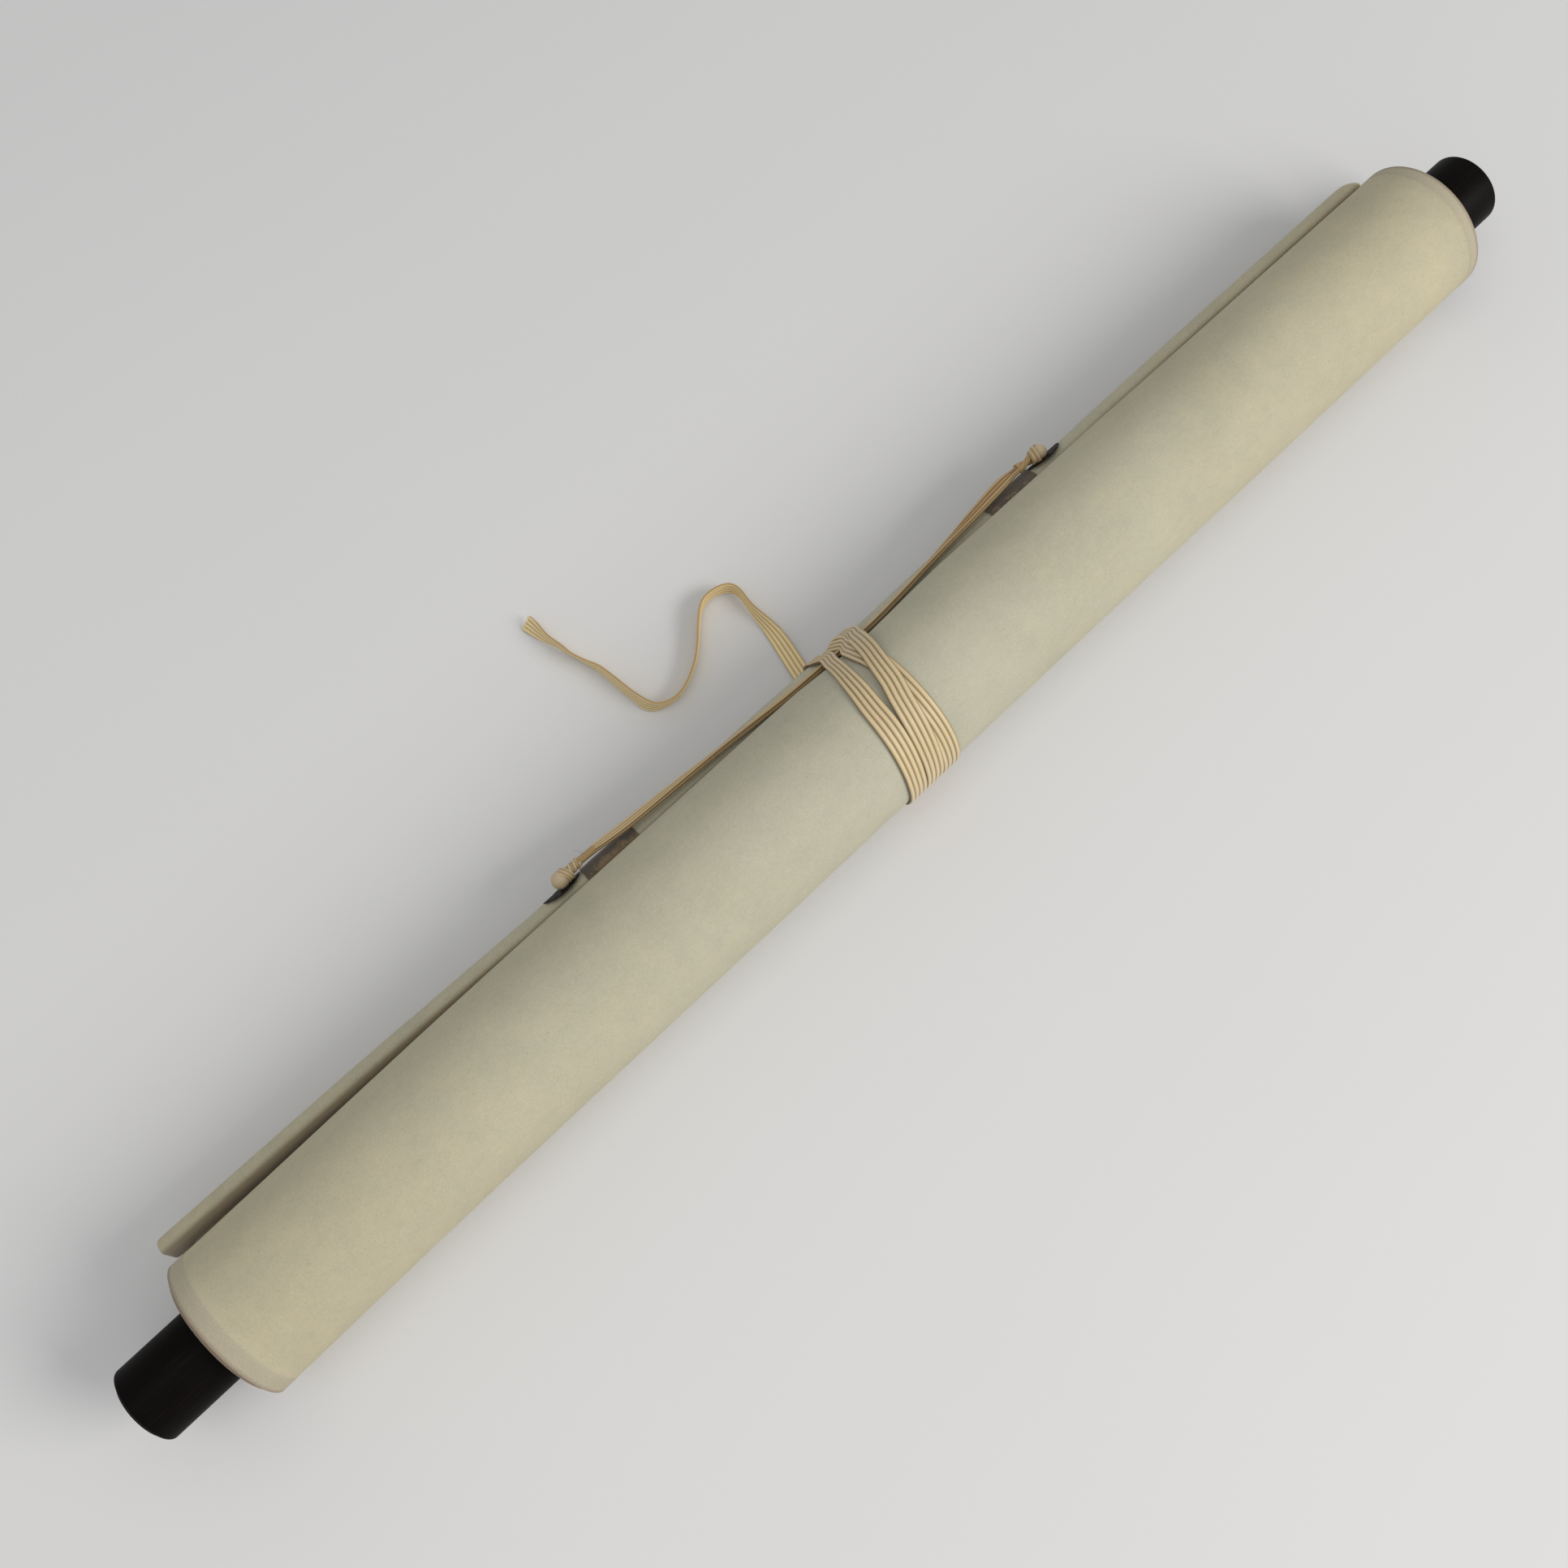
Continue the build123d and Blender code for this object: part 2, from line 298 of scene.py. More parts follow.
def backing_paper():
    """Cream mulberry paper: cloudy, with fine crossing fibres, yellower towards the two ends,
    with browner folded hems and a thin brown rim."""
    finish = Finish("backing_paper", specular_ior_level=0.25)
    spot, lay = finish.place(), finish.attribute("lay")
    lay_x = finish.axis(lay, 0)
    clouds = finish.cloud(lay, 0.022, 4.0)
    patches = finish.cloud(lay, 0.09, 5.0, 0.65)
    mottle = finish.cloud(lay, 0.32, 3.0, 0.6)
    pulp = finish.cloud(lay, 0.75, 6.0, 0.75)
    speckle = finish.cloud(lay, 1.5, 3.0, 0.8)
    long_fibres = finish.cloud(finish.stretched(lay, (0.35, 3.2, 1.0)), 0.8, 4.0, 0.7)
    cross_fibres = finish.cloud(finish.stretched(lay, (2.6, 0.4, 1.0)), 0.8, 4.0, 0.7)
    fibres = long_fibres * 0.5 + cross_fibres * 0.5
    colour = finish.ramp(
        clouds * 0.27 + patches * 0.28 + mottle * 0.15 + pulp * 0.30,
        (0.34, (0.412, 0.388, 0.272)),
        (0.50, (0.478, 0.456, 0.332)),
        (0.66, (0.540, 0.518, 0.388)),
    )
    colour = finish.blend((fibres - 0.5).size() * 1.6, colour, (0.61, 0.580, 0.455))
    aged = finish.axis(spot, 0).size().above(60.0, 190.0) + (patches - 0.5) * 0.9
    cool, yellow = (0.985, 1.02, 1.12), (1.035, 0.965, 0.880)
    colour = finish.blend(aged * 0.9, finish.tinted(colour, cool), finish.tinted(colour, yellow))
    ragged = finish.cloud(lay, 0.6, 3.0) * 0.8 - 0.4
    left = 1 - (lay_x + ragged + (HALF_SHEET - LEFT_HEM)).above(0.0, 0.3)
    right = (lay_x + ragged).above(HALF_SHEET - RIGHT_HEM, 0.3)
    colour = finish.blend(left.most(right) * 0.52, colour, (0.390, 0.335, 0.262))
    rim = (lay_x.size() + ragged * 0.5).above(HALF_SHEET - 0.8, 0.5)
    colour = finish.blend(rim * 0.75, colour, (0.27, 0.195, 0.14))
    flecks = finish.cloud(lay, 0.5, 2.0, 0.5).above(0.735, 0.03)
    dark, light = (speckle - 0.5).above(0.07, 0.10), (0.5 - speckle).above(0.07, 0.10)
    away = finish.node("VectorMath", {0: spot, 1: STAIN_SPOT}, out="Value", operation="DISTANCE")
    for mask, tone in (
        (flecks * 0.35, (0.33, 0.28, 0.17)),
        (dark * 0.25, (0.365, 0.330, 0.215)),
        (light * 0.22, (0.66, 0.635, 0.51)),
        ((1 - away.above(0.75, 0.3)) * 0.8, (0.42, 0.32, 0.11)),
    ):
        colour = finish.blend(mask, colour, tone)
    return finish.give(
        base_color=colour,
        roughness=pulp * 0.12 + 0.74,
        normal=finish.bump(pulp * 0.4 + fibres * 0.35 + speckle * 0.25, 0.14, 0.75),
    )


def face_silk():
    """Plain brown silk on the sheet's inner face, finely ribbed, with painted light: lighter
    towards the pocket's upper edge, darker lower down where the roll shades it.
    """
    finish = Finish("face_silk", sheen_weight=0.15)
    spot = finish.place()
    weft = finish.axis(spot, 0) * 1.9
    clouds = finish.cloud(spot, 0.12, 4.0)
    slubs = finish.cloud(finish.stretched(spot, (3.0, 0.3, 0.3)), 1.0, 3.0)
    colour = finish.ramp(
        clouds * 0.6 + slubs * 0.4, (0.3, (0.285, 0.220, 0.155)), (0.7, (0.43, 0.345, 0.250))
    )
    # Painted light: the silk is blended towards a lighter brown as its height on the pocket's
    # flat face rises. This stands for the room's light reaching the upper part and the roll's
    # shade on the lower part.
    height = finish.axis(finish.attribute("lay"), 2)
    colour = finish.blend(height.above(-1.5, 4.0) * 0.8, colour, (0.66, 0.56, 0.42))
    return finish.give(
        base_color=colour,
        roughness=slubs * 0.15 + 0.6,
        normal=finish.bump(weft.wave() * 0.3 + slubs * 0.7, 0.05, 0.4),
    )


def sheet_edge():
    """Cut edge of the pasted paper and silk."""
    finish = Finish("sheet_edge")
    spot = finish.place()
    grain = finish.cloud(spot, 1.6, 4.0, 0.7)
    colour = finish.ramp(grain, (0.3, (0.33, 0.25, 0.19)), (0.7, (0.50, 0.42, 0.33)))
    return finish.give(
        base_color=colour, roughness=0.85, normal=finish.bump(grain, 0.08, 0.5)
    )


def ribbed_silk(name, ribs, width, pitch, light, dark, stain=None, depth=0.20):
    """Glossy braid: rows of slanted threads along each rib, with painted shade darkening the
    grooves and a painted highlight on the beads of each rib's crest. A stain is a place along X
    past which the middle ribs take a colour."""
    finish = Finish(name, sheen_weight=0.1, specular_ior_level=0.55)
    weave = finish.attribute("weave")
    across, along = finish.axis(weave, 0), finish.axis(weave, 1)
    row = across * (ribs / width) + (8.0 + ribs % 2 * 0.5)
    off = (row.fraction() - 0.5).size() * 2
    number = row.whole()
    beads = (along / pitch + number * 0.37 + off * 0.3).wave() ** 1.6
    crown = 1 - off**3
    threads = finish.cloud(finish.stretched(weave, (ribs / width * 3.0, 2.4, 1.0)), 1.0, 3.0, 0.6)
    shade = finish.cloud(finish.stretched(weave, (0.2, 0.035, 1.0)), 1.0, 2.0, 0.5)
    crest = crown**4
    height = crown * 0.70 + beads * crest * 0.18 + threads * 0.12
    # Painted light: the tone runs from painted shade in the grooves between the ribs to a painted
    # highlight on the beads of each rib's crest, standing for the silk's gloss.
    tone = crown * 0.40 + crest * 0.10 + beads * crest * 0.32 + threads * 0.20 + shade * 0.14
    middle = tuple(0.46 * a + 0.54 * b for a, b in zip(dark, light))
    # The brightest stop is a painted highlight, a near-white version of the rib colour.
    painted_highlight = tuple(min(1.0, 1.35 * b + 0.04) for b in light)
    colour = finish.ramp(tone, (0.14, dark), (0.40, middle), (0.68, light), (1.0, painted_highlight))
    if stain:
        place, tint = stain
        faces = 1 - across.size().above(width * 0.36, 0.12)
        past = finish.axis(finish.place(), 0).above(place, 14.0)
        colour = finish.blend(faces * past * (0.45 + shade * 0.7), colour, tint, "MULTIPLY")
    return finish.give(
        base_color=colour,
        roughness=0.52 - beads * 0.16,
        normal=finish.bump(height, depth, 0.8),
    )


def thread_silk():
    """Loose pale blue-grey sewing thread."""
    return Finish("loose_thread", base_color=(0.30, 0.36, 0.42, 1), roughness=0.6).material


def turned_wood():
    """Near-black stained wood, rubbed to a satin polish, with faint straight grain."""
    finish = Finish("turned_wood", coat_roughness=0.38, specular_ior_level=0.04)
    spot = finish.place()
    grain = finish.cloud(finish.stretched(spot, (0.05, 1.0, 1.0)), 0.9, 6.0, 0.7)
    pores = finish.cloud(finish.stretched(spot, (0.25, 3.0, 3.0)), 1.0, 3.0, 0.6)
    rub = finish.cloud(spot, 0.11, 4.0)
    colour = finish.ramp(
        grain * 0.7 + pores * 0.3,
        (0.30, (0.0025, 0.0020, 0.0018)),
        (0.55, (0.0045, 0.0033, 0.0028)),
        (0.80, (0.0140, 0.0090, 0.0065)),
    )
    return finish.give(
        base_color=colour,
        roughness=rub * 0.16 + 0.40,
        coat_weight=rub * 0.03,
        normal=finish.bump(pores * 0.6 + grain * 0.4, 0.05, 0.35),
    )


def soft_wood():
    """Bare softwood with straight grain along the rod."""
    finish = Finish("soft_wood")
    spot = finish.place()
    rings = finish.axis(spot, 1) * 0.45 + finish.cloud(
        finish.stretched(spot, (0.004, 0.08, 0.08)), 1.0, 3.0
    ) * 3.0
    fibres = finish.cloud(finish.stretched(spot, (0.05, 2.0, 2.0)), 1.0, 4.0)
    colour = finish.blend(
        rings.wave() * 0.5 + fibres * 0.4, (0.62, 0.46, 0.28), (0.44, 0.29, 0.15)
    )
    return finish.give(
        base_color=colour, roughness=fibres * 0.2 + 0.6, normal=finish.bump(fibres, 0.08, 0.5)
    )


def black_metal():
    """Thin pressed metal, blackened, with the edges rubbed."""
    finish = Finish("black_metal", specular_ior_level=0.25)
    spot = finish.place()
    wear = finish.cloud(spot, 0.9, 4.0, 0.7)
    colour = finish.blend(wear.above(0.62, 0.10), (0.010, 0.008, 0.006), (0.055, 0.038, 0.024))
    return finish.give(
        base_color=colour,
        metallic=0.3,
        roughness=wear * 0.3 + 0.42,
        normal=finish.bump(wear, 0.05, 0.4),
    )


def aged_brass():
    """Darkened brass."""
    finish = Finish("aged_brass", metallic=1.0)
    spot = finish.place()
    dull = finish.cloud(spot, 1.1, 4.0, 0.7)
    colour = finish.blend(dull, (0.36, 0.25, 0.11), (0.16, 0.11, 0.06))
    return finish.give(
        base_color=colour, roughness=dull * 0.3 + 0.32, normal=finish.bump(dull, 0.03, 0.4)
    )


def brocade(name, figures, ground, gold):
    """Worn brocade: a fine slanting twill with soft, thread-broken figures in old gold."""
    finish = Finish(name, sheen_weight=0.15)
    weave = finish.attribute("lay")
    x, run = finish.axis(weave, 0), finish.axis(weave, 1)
    twill = ((x * 0.9 + run) * 1.9).wave()
    threads = (x * 3.1 + run * 0.2).wave()
    worn = finish.cloud(weave, 0.20, 4.0, 0.7)
    fine = finish.cloud(finish.stretched(weave, (3.2, 1.1, 1.0)), 0.9, 4.0, 0.7)
    lower = (12.2 - run) * 0.055
    figure = (worn + fine * 0.35 + lower + figures).above(0.68, 0.07) * (0.7 + twill * 0.3)
    base = finish.blend(
        threads * 0.2 + twill * 0.12 + fine * 0.68, tuple(0.5 * c for c in ground), ground
    )
    colour = finish.blend(figure * (0.45 + fine * 0.6), base, gold)
    return finish.give(
        base_color=colour,
        roughness=0.78 - figure * 0.2,
        normal=finish.bump(twill * 0.4 + threads * 0.25 + fine * 0.35, 0.12, 0.7),
    )


def table_top():
    """Plain pale floor, painted a little darker towards one side: painted shade standing for the
    room's light falling off across the table.
    """
    finish = Finish("table_top", roughness=0.9, specular_ior_level=0.1)
    spot = finish.place(1.0)
    # Painted light: the colour grades from darker to lighter across the table, standing for the
    # fall of the window's light rather than a change in the floor itself.
    slope = finish.axis(spot, 0) * -0.80 - finish.axis(spot, 1) * 0.77
    soft = finish.cloud(spot, 6.0, 2.0)
    colour = finish.blend(slope.above(0.0, 0.45), (0.668, 0.665, 0.661), (0.803, 0.791, 0.783))
    colour = finish.blend(soft * 0.05, colour, (0.50, 0.50, 0.50))
    return finish.give(base_color=colour)


# Mesh tools.


def verts_of(geometry):
    return [item for item in geometry if isinstance(item, bmesh.types.BMVert)]


def edges_between(geometry, verts):
    """The edges of a piece of geometry whose two ends are both among some vertices."""
    chosen = set(verts)
    return [
        item
        for item in geometry
        if isinstance(item, bmesh.types.BMEdge) and all(v in chosen for v in item.verts)
    ]


def finish_piece(name, bm, materials, stands_for=(), sharp=40.0, outwards=False):
    """Turns a bmesh in millimetres into a piece of the object that rides on its body, with the
    faces of closed shells turned outwards where that is asked. Nothing of it dips into the
    table."""
    if outwards:
        bmesh.ops.recalc_face_normals(bm, faces=bm.faces)
    for vert in bm.verts:
        vert.co.z = max(vert.co.z, 0.0)
    bmesh.ops.scale(bm, vec=(MM, MM, MM), verts=bm.verts)
    mesh = bpy.data.meshes.new(name)
    bm.to_mesh(mesh)
    bm.free()
    for material in materials:
        mesh.materials.append(material)
    mesh.shade_smooth()
    mesh.set_sharp_from_angle(angle=radians(sharp))
    piece = bpy.data.objects.new(name, mesh)
    bpy.context.scene.collection.objects.link(piece)
    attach(piece, "root")
    if stands_for:
        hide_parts(*stands_for)
    return piece


def smooth_route(route, fine=12):
    """Points along the smooth curve that a route's points pull on."""
    curve = bpy.data.curves.new("route", "CURVE")
    curve.dimensions = "3D"
    curve.resolution_u = fine
    spline = curve.splines.new("NURBS")
    spline.points.add(len(route) - 1)
    for point, place in zip(spline.points, route):
        point.co = (*place, 1)
    spline.order_u = 3
    spline.use_endpoint_u = True
    holder = bpy.data.objects.new("route", curve)
    line = bpy.data.meshes.new_from_object(holder)
    points = [vert.co.copy() for vert in line.vertices]
    bpy.data.objects.remove(holder)
    bpy.data.meshes.remove(line)
    bpy.data.curves.remove(curve)
    return points


def stations_on(points, normals, rolls=None, widths=None):
    """Matrices along a line: x across the strip, y out of its face, z along the line."""
    made = []
    for i, point in enumerate(points):
        along = (points[min(i + 1, len(points) - 1)] - points[max(i - 1, 0)]).normalized()
        across = normals[i].cross(along).normalized()
        out = along.cross(across)
        if rolls:
            turned = Matrix.Rotation(radians(rolls[i]), 3, along)
            across, out = turned @ across, turned @ out
        wide = widths[i] if widths else 1.0
        station = Matrix((across * wide, out, along)).transposed().to_4x4()
        station.translation = point
        made.append(station)
    return made


def sweep(bm, section, stations, layer="weave"):
    """Draws a closed section along stations, and notes where each point lies on the strip."""
    layers = bm.verts.layers.float_vector
    weave = layers.get(layer) or layers.new(layer)
    ring = [bm.verts.new(stations[0] @ Vector((u, v, 0))) for u, v in section]
    for vert, (u, v) in zip(ring, section):
        vert[weave] = (u, 0, v)
    edges = [bm.edges.new(pair) for pair in zip(ring, ring[1:] + ring[:1])]
    bmesh.ops.edgeloop_fill(bm, edges=edges)
    gone = 0.0
    for before, after in zip(stations, stations[1:]):
        gone += (after.translation - before.translation).length
        made = bmesh.ops.extrude_edge_only(bm, edges=edges)["geom"]
        verts = verts_of(made)
        edges = edges_between(made, verts)
        bmesh.ops.transform(bm, matrix=after @ before.inverted(), verts=verts)
        for vert in verts:
            vert[weave] = (vert[weave][0], gone, vert[weave][2])
    bmesh.ops.edgeloop_fill(bm, edges=edges)


def ribbed_section(width, thick, ribs, steps=5):
    """Section of a flat braid: round ribs side by side, on both faces."""
    count = ribs * steps
    top = []
    for i in range(count + 1):
        lobe = abs(sin(pi * i / steps)) ** 0.7
        top.append((width * (i / count - 0.5), thick / 2 * (0.56 + 0.44 * lobe)))
    return top + [(u, -v) for u, v in reversed(top)]


def round_section(radius, steps):
    turns = [2 * pi * i / steps for i in range(steps)]
    return [(radius * cos(turn), radius * sin(turn)) for turn in turns]


def arc_points(centre, radius, start, end, steps):
    return [
        (centre[0] + radius * cos(radians(a)), centre[1] + radius * sin(radians(a)))
        for a in [start + (end - start) * i / steps for i in range(steps + 1)]
    ]


def line_through(bm, points):
    """A line of vertices and edges through some points."""
    line = [bm.verts.new(point) for point in points]
    return line, [bm.edges.new(pair) for pair in zip(line, line[1:])]


def turn_full(bm, points, middle, axis, steps):
    """Spins a line through some points once round an axis, and closes its seam."""
    line, edges = line_through(bm, points)
    bmesh.ops.spin(
        bm, geom=line + edges, cent=middle, axis=axis, angle=2 * pi, steps=steps, use_merge=True
    )
    bmesh.ops.remove_doubles(bm, verts=bm.verts, dist=0.0005)


def ripple(*spot):
    """Smooth noise from about -1 to 1 at a spot, for slight unevenness."""
    return noise.noise(Vector(spot))


# The roll.

# Each turn of the sheet is a half circle over the roller and two quarters below it with a flat
# stretch between them. These are how far its outer skin stands from the roller's line in front
# and behind, the flat stretch and the quarters' radius.


def front_edge(turn):
    return FIRST_TURN + (turn + 0.5) * (SHEET_THICK + FRONT_GAP)


def back_edge(turn):
    return FIRST_TURN + turn * (SHEET_THICK + BACK_GAP)


def flat_under(turn):
    return FLAT_SPOT * (turn + 1) / TURNS


def bottom_radius(turn):
    return (front_edge(turn) + back_edge(turn + 1) - flat_under(turn)) / 2


LAST = TURNS - 1
AXIS = FLOOR_LINE + bottom_radius(LAST)
REST_CENTRE = back_edge(LAST) - bottom_radius(LAST - 1)
REST_RADIUS = bottom_radius(LAST - 1) + SHEET_THICK / 2 + BATTEN_GAP
OUT = Vector((0, cos(LEAN), -sin(LEAN)))
UP = Vector((0, sin(LEAN), cos(LEAN)))
BATTEN = Vector((0, REST_CENTRE, AXIS)) + OUT * (REST_RADIUS + SHEET_THICK)

# How far the batten and its pocket stand out from the CAD's straight line, along the roller.
BATTEN_SPLAY = [
    (-273, 3.0), (-200, 2.0), (-160, 1.0), (-137, 0.3), (-116, -0.25), (-100, -0.4),
    (-50, -0.4), (-11, -0.5), (4, -0.85), (22, -1.5), (40, -1.2), (80, -1.05), (123, -1.2),
    (147, -0.85), (273, -1.1),
]
# How much fatter the roll is than the CAD's, at its back and at its front.
BACK_SWELL = [
    (-273, -1.0), (-200, -0.3), (-137, 0.2), (-40, 0.3), (-12, 0.2), (4, -0.7), (20, -1.2),
    (34, -0.7), (52, 0.1), (137, -0.3), (273, -1.2),
]
FRONT_SWELL = [(-273, 0.6), (-215, 0.1), (-150, 0.0), (273, 0.1)]
# How far each turn's edge stands past the sheet's own end, by turn, at the two ends.
LEFT_STEPS = [
    (0, 2.1), (4, 2.1), (8, 1.4), (11, 0.8), (13, 0.95), (14.2, 0.85), (15.2, 0.35),
    (16.2, -0.2), (17.2, -0.75), (18, -0.75),
]
RIGHT_STEPS = [
    (0, 0), (5, 0.0), (9, 1.6), (12, 2.7), (14, 3.6), (16, 4.1), (17, 4.2), (18, 4.2),
]
# The first turns have even edges, the others ragged ones. Past the last place here the sheet
# leaves the roll for the batten, and follows its splay by this share.
EVEN_TURNS = 4
EDGE_RAGGED = 0.08
FLAP_TURN = 17.6
FLAP_SHARE = [(17.62, 0.0), (17.732, 0.15), (17.9, 1.0)]
# The roll's slight unevenness: waves per millimetre along X and across it, and their height.
ROLL_WAVES = ((0.016, 0.02, 0.35), (0.05, 0.05, 0.10))
# Where rows of faces lie along the roller, in the inner turns and in the outer two.
INNER_PLACES = [-HALF_SHEET, -HALF_SHEET + 22, -137, 0, 137, HALF_SHEET - 22, HALF_SHEET]
OUTER_PLACES = [
    -HALF_SHEET, -271.4, -269.0,
    LEFT_HEM - HALF_SHEET - HEM_RAMP, LEFT_HEM - HALF_SHEET + HEM_RAMP,
    -262.0, -256.0, -250.5, *range(-242, 250, 11), 250.5, 257.0, 263.0,
    HALF_SHEET - RIGHT_HEM - HEM_RAMP, HALF_SHEET - RIGHT_HEM + HEM_RAMP,
    270.0, 271.6, HALF_SHEET,
]
# Steps in a quarter turn of the inner and of the outer turns.
INNER_FINE = 12
OUTER_FINE = 24
# Where the two knobs' inner faces stand.
KNOB_FACES = (-274.7, 272.5)


def on_batten(x, out, up):
    """A point in the batten's own section, moved with its slight bow."""
    bow = Vector((x, graded(BATTEN_SPLAY, x), 0))
    return BATTEN + OUT * out + UP * up + bow


def around_batten(x, radius, angle):
    return on_batten(x, radius * cos(radians(angle)), radius * sin(radians(angle)))


def wind(bm, tip, centre_y, centre_z, angle, steps):
    """Carries a line's tip round an arc about the roller's direction, and gives its new tip."""
    made = bmesh.ops.spin(
        bm, geom=[tip], cent=(0, centre_y, centre_z), axis=(1, 0, 0), angle=angle, steps=steps
    )
    return verts_of(made["geom_last"])[0]


def run(bm, tip, step, pieces=1):
    """Draws a line's tip on by a straight step."""
    for _ in range(pieces):
        tip = bmesh.ops.extrude_vert_indiv(bm, verts=[tip])["verts"][0]
        bmesh.ops.translate(bm, vec=Vector(step) / pieces, verts=[tip])
    return tip


def roll_turns(bm, tip, turns, fine):
    """Winds whole turns of the sheet's outer skin on from a tip."""
    for turn in turns:
        front, back, low = front_edge(turn), back_edge(turn), bottom_radius(turn)
        tip = wind(bm, tip, (back - front) / 2, AXIS, pi, 2 * fine)
        tip = wind(bm, tip, low - front, AXIS, pi / 2, fine)
        tip = run(bm, tip, (0, flat_under(turn), 0))
        tip = wind(bm, tip, low - front + flat_under(turn), AXIS, pi / 2, fine)
    return tip


def flap_run(bm, tip, fine):
    """The last turn: over the top, down the front, along the table and up to the batten."""
    front, back, low = front_edge(LAST), back_edge(LAST), bottom_radius(LAST)
    turned = pi / 2 - LEAN
    foot = BATTEN - OUT * (SHEET_THICK / 2) - UP * (BATTEN_RADIUS - BATTEN_CORNER)
    rise = (foot.z - FLOOR_LINE) / (1 - cos(turned))
    start = foot.y - rise * sin(turned)
    tip = wind(bm, tip, (back - front) / 2, AXIS, pi, 2 * fine)
    tip = wind(bm, tip, low - front, AXIS, pi / 2, fine)
    tip = run(bm, tip, (0, start - (low - front), 0), 6)
    tip = wind(bm, tip, start, FLOOR_LINE + rise, turned, fine // 2)
    run(bm, tip, UP * FLAP_END)


def along_roller(bm, edges, places):
    """Draws a line's edges out along the roller, through a row of X places."""
    for before, after in zip(places, places[1:]):
        made = bmesh.ops.extrude_edge_only(bm, edges=edges)["geom"]
        verts = verts_of(made)
        edges = edges_between(made, verts)
        bmesh.ops.translate(bm, vec=(after - before, 0, 0), verts=verts)


def note_lay(bm, lay, start=0.0):
    """Writes on each vertex of a line how far along the sheet it lies; gives the end's."""
    gone, before = start, None
    for vert in bm.verts:
        if before is not None:
            gone += (vert.co - before).length
        vert[lay] = (vert.co.x, gone, 0)
        before = vert.co.copy()
    return gone


def shape_roll(vert, turn):
    """Moves a point of the roll to the real one's slightly uneven, telescoped shape."""
    x, y, z = vert.co
    angle = atan2(z - AXIS, y)
    share = min(turn / LAST, 1.0)
    back, front = max(cos(angle), 0.0), max(-cos(angle), 0.0)
    lean = share * (graded(BACK_SWELL, x) * back - graded(FRONT_SWELL, x) * front)
    if turn > FLAP_TURN:
        lean = graded(BATTEN_SPLAY, x) * graded(FLAP_SHARE, turn)
    uneven = sum(
        ripple(x * along, y * across, z * across) * height * share
        for along, across, height in ROLL_WAVES
    )
    off = Vector((0, y, z - AXIS)).normalized() * uneven * max(sin(angle) * 0.5 + 0.5, 0.0)
    ragged = 0.0 if turn < EVEN_TURNS else EDGE_RAGGED
    left = graded(LEFT_STEPS, turn) + ragged * ripple(turn * 9.0, 3, 1.5)
    right = graded(RIGHT_STEPS, turn) + ragged * ripple(turn * 9.0, -3, 1.5)
    share = (x + HALF_SHEET) / SHEET_WIDTH
    vert.co += Vector((right * share - left * (1 - share), lean, 0)) + off


def face_up(bm):
    """Turns all the faces round if the topmost looks down."""
    bm.normal_update()
    top = max(bm.faces, key=lambda face: face.calc_center_median().z)
    if top.normal.z < 0:
        bmesh.ops.reverse_faces(bm, faces=bm.faces)


def note_turns(bm, turn_no, first):
    """Writes on each vertex of a wound line the turn that it lies on."""
    swept, last_angle = float(first), None
    for vert in bm.verts:
        angle = atan2(vert.co.z - AXIS, vert.co.y) / (2 * pi)
        if last_angle is not None:
            swept += (angle - last_angle + 0.5) % 1.0 - 0.5
        last_angle = angle
        vert[turn_no] = swept


def give_sheet(bm):
    """Gives the wound skin its thickness: paper outside, silk inside, cut edges between."""
    face_up(bm)
    made = bmesh.ops.solidify(bm, geom=bm.faces[:], thickness=SHEET_THICK)
    for item in made["geom"]:
        if isinstance(item, bmesh.types.BMFace):
            item.material_index = 1
    bm.normal_update()
    for face in bm.faces:
        if abs(face.normal.x) > 0.7:
            face.material_index = 2


def scroll_roll(paper, silk, edge):
    """The whole wound sheet and its length, its inner turns plain and its outer two finely
    divided, with their hems a step thicker."""
    bm = bmesh.new()
    start, unrolled = Vector((-HALF_SHEET, back_edge(0) + SHEET_THICK / 2, AXIS)), 0.0
    for turns, fine, places in (
        (range(LAST - 1), INNER_FINE, INNER_PLACES),
        (range(LAST - 1, LAST), OUTER_FINE, OUTER_PLACES),
    ):
        part = bmesh.new()
        lay = part.verts.layers.float_vector.new("lay")
        turn_no = part.verts.layers.float.new("turn")
        tip = roll_turns(part, part.verts.new(start), turns, fine)
        start = tip.co.copy()
        outer = turns[-1] == LAST - 1
        if outer:
            flap_run(part, tip, fine)
        part.verts.index_update()
        unrolled = note_lay(part, lay, unrolled)
        note_turns(part, turn_no, turns[0])
        along_roller(part, part.edges[:], places)
        for vert in part.verts:
            vert[lay] = (vert.co.x, vert[lay][1], 0)
            if outer and not LEFT_HEM - HALF_SHEET <= vert.co.x <= HALF_SHEET - RIGHT_HEM:
                vert.co += Vector((0, vert.co.y, vert.co.z - AXIS)).normalized() * HEM_STEP
            shape_roll(vert, vert[turn_no])
        give_sheet(part)
        spare = bpy.data.meshes.new("layer")
        part.to_mesh(spare)
        part.free()
        bm.from_mesh(spare)
        bpy.data.meshes.remove(spare)
    piece = finish_piece(
        "scroll_roll", bm, [paper, silk, edge], ["scroll_sheet"]
    )
    return piece, unrolled


